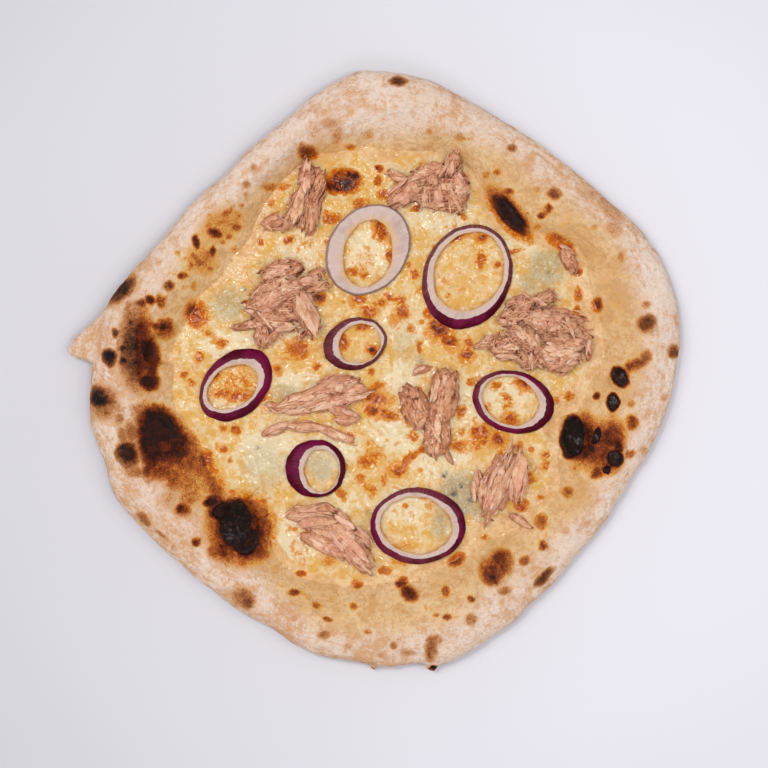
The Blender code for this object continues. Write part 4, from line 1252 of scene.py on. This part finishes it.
    def lay(self, x, y, direction, piece, tone, draw, size=None):
        """Lay one piece on the meat or on the cheese beside it, of this size if there is one."""
        rows, columns = self.field.shape
        row = min(max(round((y - self.low_y) / self.step), 0), rows - 1)
        column = min(max(round((x - self.low_x) / self.step), 0), columns - 1)
        slope_y, slope_x = self.slopes[:, row, column]
        length, width, thick = [draw.uniform(*limits) for limits in TUNA_PIECES[piece]]
        if size:
            length, width = size
        turn = math.radians(direction)
        up = Vector((-slope_x, -slope_y, 1)).normalized()
        ahead = Vector((math.cos(turn), math.sin(turn), 0))
        ahead = (ahead - up * ahead.dot(up)).normalized()
        z = max(self.field[row, column], self.rest[row, column]) + 0.25 * thick
        place = Matrix((ahead, up.cross(ahead), up)).transposed().to_4x4()
        place = Matrix.Translation((x, y, z)) @ place
        tip = self.tip[piece]
        place = place @ Matrix.Rotation(math.radians(draw.uniform(-tip, tip)), 4, "X")
        place = place @ Matrix.Rotation(math.radians(draw.uniform(-0.6, 0.3) * tip), 4, "Y")
        self.flake(place, (length, width, thick), tone, draw, piece)

    def flake(self, place, size, tone, draw, piece):
        """One flake with fibres along its X, frayed at both ends and bent."""
        mesh, (along, across, up) = self.patterns[piece]
        length, width, thick = size
        slim = np.maximum(np.sqrt(np.clip(1 - along**2, 0, 1)), 0.1)
        blunt = np.sqrt(np.clip(1 - np.abs(along) ** 3, 0, 1)) / slim
        phase = draw.uniform(0, 6.3, 6)
        across = across * blunt * (1 + draw.uniform(-0.4, 0.4) * along)
        up = up * blunt
        groove = np.sin(across * width * 2.1 + phase[0] + along)
        groove += 0.6 * np.sin(across * width * 4.1 + phase[1])
        fray = np.sin(across * 5 + phase[2]) + 0.8 * np.sin(across * 9 + phase[3])
        x = length / 2 * (along + 0.16 * fray * np.abs(along) ** 3)
        y = across * (1 + 0.2 * np.sin(along * 2.6 + phase[4])) + 0.16 * np.sin(along * 5 + phase[1])
        y = width / 2 * y + 0.06 * length * draw.uniform(-1, 1) * (along**2 - 0.3)
        z = thick / 2 * up * (1 + 0.16 * groove) + thick * 0.2 * np.sin(along * 3.4 + phase[5])
        z = z - 0.05 * length * draw.uniform(-0.4, 1.0) * along**2
        fibre = np.column_stack((x * self.fibres_along, y * self.fibres_across, z))
        self.grains.append(fibre + draw.uniform(0, 90, 3))
        # Painted shade: the tone is lighter on the grooves' crests, darker in them and darker towards the
        # flake's sides.
        self.tones.append(tone + 0.08 * groove - 0.1 * smooth(0.6, 1.0, np.abs(across)))
        points = np.column_stack((x, y, z)) @ np.array(place.to_3x3()).T + np.array(place.translation)
        points[:, 2] = np.maximum(points[:, 2], self.lowest)
        place_points(mesh, points)
        self.clump.from_mesh(mesh)

    def dress(self, lobe, look, draw):
        """Scatter leaves, slivers and crumbs over one lobe, and loose slivers round it."""
        x, y, length, width, grain, _ = lobe
        (darkest, lightest), leaves, slivers, crumbs, turning = TUNA_LOOKS[look][3:]
        area = math.pi / 4 * length * width / 100
        pieces = ["leaf"] * round(leaves * area) + ["crumb"] * round(crumbs * area)
        pieces += ["sliver"] * round(slivers * area) + ["loose"] * round(slivers * (length + width) / 60)
        turn = math.radians(grain)
        for piece in pieces:
            loose = piece == "loose"
            out = draw.uniform(0.9, 1.12) if loose else 0.92 * math.sqrt(draw.uniform(0, 1))
            angle = draw.uniform(0, 2 * math.pi)
            along = out * math.cos(angle) * length / 2
            aside = out * math.sin(angle) * width / 2
            spot_x = x + along * math.cos(turn) - aside * math.sin(turn)
            spot_y = y + along * math.sin(turn) + aside * math.cos(turn)
            direction = grain + draw.normal(0, 0.6 * turning)
            tone = draw.uniform(darkest + 0.1, lightest + 0.22)
            if piece == "leaf":
                size = (min(draw.uniform(5, 14), 0.8 * length), min(draw.uniform(2.0, 4.6), 0.6 * width))
                self.lay(spot_x, spot_y, direction, "leaf", tone + 0.1, draw, size)
            else:
                self.lay(spot_x, spot_y, direction, "sliver" if loose else piece, tone, draw)

    def execute(self, context):
        material = flaked_tuna(context.scene.pizza_colours)
        base = height_over("baked_crust", "cheese_sheet")
        self.patterns = {piece: self.pattern(*faces) for piece, faces in self.faces.items()}
        for number, (lobes, look) in enumerate(zip(TUNA, TUNA_KINDS), 1):
            draw = np.random.default_rng(TUNA_SEED + number)
            name = f"tuna_clump_{number}"
            lobes = [tuple(lobe) for clump, *lobe in TUNA_FILL if clump == number] + list(lobes)
            self.start_clump(name, lobes, look, base, draw)
            for lobe in lobes:
                self.dress(lobe, look, draw)
            for clump, x, y, length, width, direction in TUNA_LEAVES:
                if clump == number:
                    tone = draw.uniform(0.7, 0.95)
                    self.lay(x, y, direction, "large leaf", tone, draw, (length, width))
            mesh = mesh_of(self.clump, name)
            give(mesh, "tone", np.concatenate(self.tones))
            give(mesh, "grain", np.concatenate(self.grains))
            show(name, mesh, material, f"tuna_flakes_{number}")
        return {"FINISHED"}


class PIZZA_OT_stage(bpy.types.Operator):
    """Set the floor, the soft lights and the camera that looks straight down"""

    bl_idname = "pizza.stage"
    bl_label = "Stage"

    # Each light: x, y, z, width, power in watts
    lights = (
        (-0.45, 0.35, 1.65, 0.22, 7.0), (0.4, -0.15, 1.7, 0.2, 3.5), (-1.0, 0.4, 1.6, 0.7, 9.0),
        (1.0, 0.1, 1.6, 0.7, 5.0), (0.1, -1.2, 1.6, 0.7, 5.0),
    )
    room_colour = (0.93, 0.95, 1.0, 1.0)
    room_light = 0.58

    # The camera's place over the floor, and the height at which it sees the width asked for
    camera_x = 4.9
    camera_y = -6.2
    measured_at = 10

    def floor(self, context):
        mesh = mesh_of(grid(1, 1, half_size=4), "table_top")
        made = Surface("pale table")
        across = add(made.tree, "ShaderNodeSeparateXYZ", {0: made.place})
        far = add(made.tree, "ShaderNodeVectorMath", {0: made.place}, output="Value", operation="LENGTH")
        # Painted light falloff: the floor is darker towards the left and a little darker towards the far
        # corners, with a faint random tone.
        shade = made.grains(3, 2).rise(0.3, 0.7, 0.985, 1.0) * across.rise(-0.3, 0.3, 0.77, 1.0)
        shade = shade * far.rise(0.2, 0.3, 1.0, 0.95)
        grey = add(made.tree, "ShaderNodeCombineColor", {0: shade, 1: shade, 2: shade})
        base = blend_colours(made.tree, 1.0, context.scene.pizza_colours.table, grey, "MULTIPLY")
        made.join({"Base Color": base})
        made.shader.inputs["Roughness"].default_value = 0.7
        mesh.materials.append(made.material)
        floor = bpy.data.objects.new("table_top", mesh)
        context.scene.collection.objects.link(floor)

    def light(self, context, number, x, y, z, width, power):
        lamp = bpy.data.lights.new(f"softbox {number}", "AREA")
        lamp.shape = "SQUARE"
        lamp.size = width
        lamp.energy = power
        body = bpy.data.objects.new(lamp.name, lamp)
        body.location = (x, y, z)
        body.rotation_euler = Vector((x, y, z)).to_track_quat("Z", "Y").to_euler()
        context.scene.collection.objects.link(body)

    def execute(self, context):
        sizes = context.scene.pizza_sizes
        self.floor(context)
        for number, values in enumerate(self.lights, 1):
            self.light(context, number, *values)
        world = bpy.data.worlds.new("room")
        world.use_nodes = True
        background = world.node_tree.nodes["Background"]
        background.inputs["Color"].default_value = self.room_colour
        background.inputs["Strength"].default_value = self.room_light
        context.scene.world = world
        camera = bpy.data.cameras.new("camera")
        distance = sizes.camera_height - self.measured_at * MM
        camera.lens = camera.sensor_width * distance / sizes.view_width
        body = bpy.data.objects.new("camera", camera)
        body.location = (self.camera_x * MM, self.camera_y * MM, sizes.camera_height)
        context.scene.collection.objects.link(body)
        context.scene.camera = body
        context.scene.view_settings.view_transform = "Standard"
        return {"FINISHED"}


class PIZZA_PT_panel(bpy.types.Panel):
    bl_idname = "PIZZA_PT_panel"
    bl_label = "Pizza"
    bl_space_type = "VIEW_3D"
    bl_region_type = "UI"
    bl_category = "Pizza"

    def draw(self, context):
        for operator in OPERATORS:
            self.layout.operator(operator.bl_idname)
        for group in (context.scene.pizza_sizes, context.scene.pizza_colours):
            for name in group.__annotations__:
                self.layout.prop(group, name)


OPERATORS = (PIZZA_OT_crust, PIZZA_OT_cheese, PIZZA_OT_onion, PIZZA_OT_tuna, PIZZA_OT_stage)
CLASSES = (PizzaSizes, PizzaColours, *OPERATORS, PIZZA_PT_panel)


def register():
    for each in CLASSES:
        bpy.utils.register_class(each)
    bpy.types.Scene.pizza_sizes = PointerProperty(type=PizzaSizes)
    bpy.types.Scene.pizza_colours = PointerProperty(type=PizzaColours)


def unregister():
    del bpy.types.Scene.pizza_colours
    del bpy.types.Scene.pizza_sizes
    for each in reversed(CLASSES):
        bpy.utils.unregister_class(each)


def main():
    register()
    bpy.ops.pizza.crust()
    bpy.ops.pizza.cheese()
    bpy.ops.pizza.onion()
    bpy.ops.pizza.tuna()
    bpy.ops.pizza.stage()


if __name__ == "__main__":
    main()
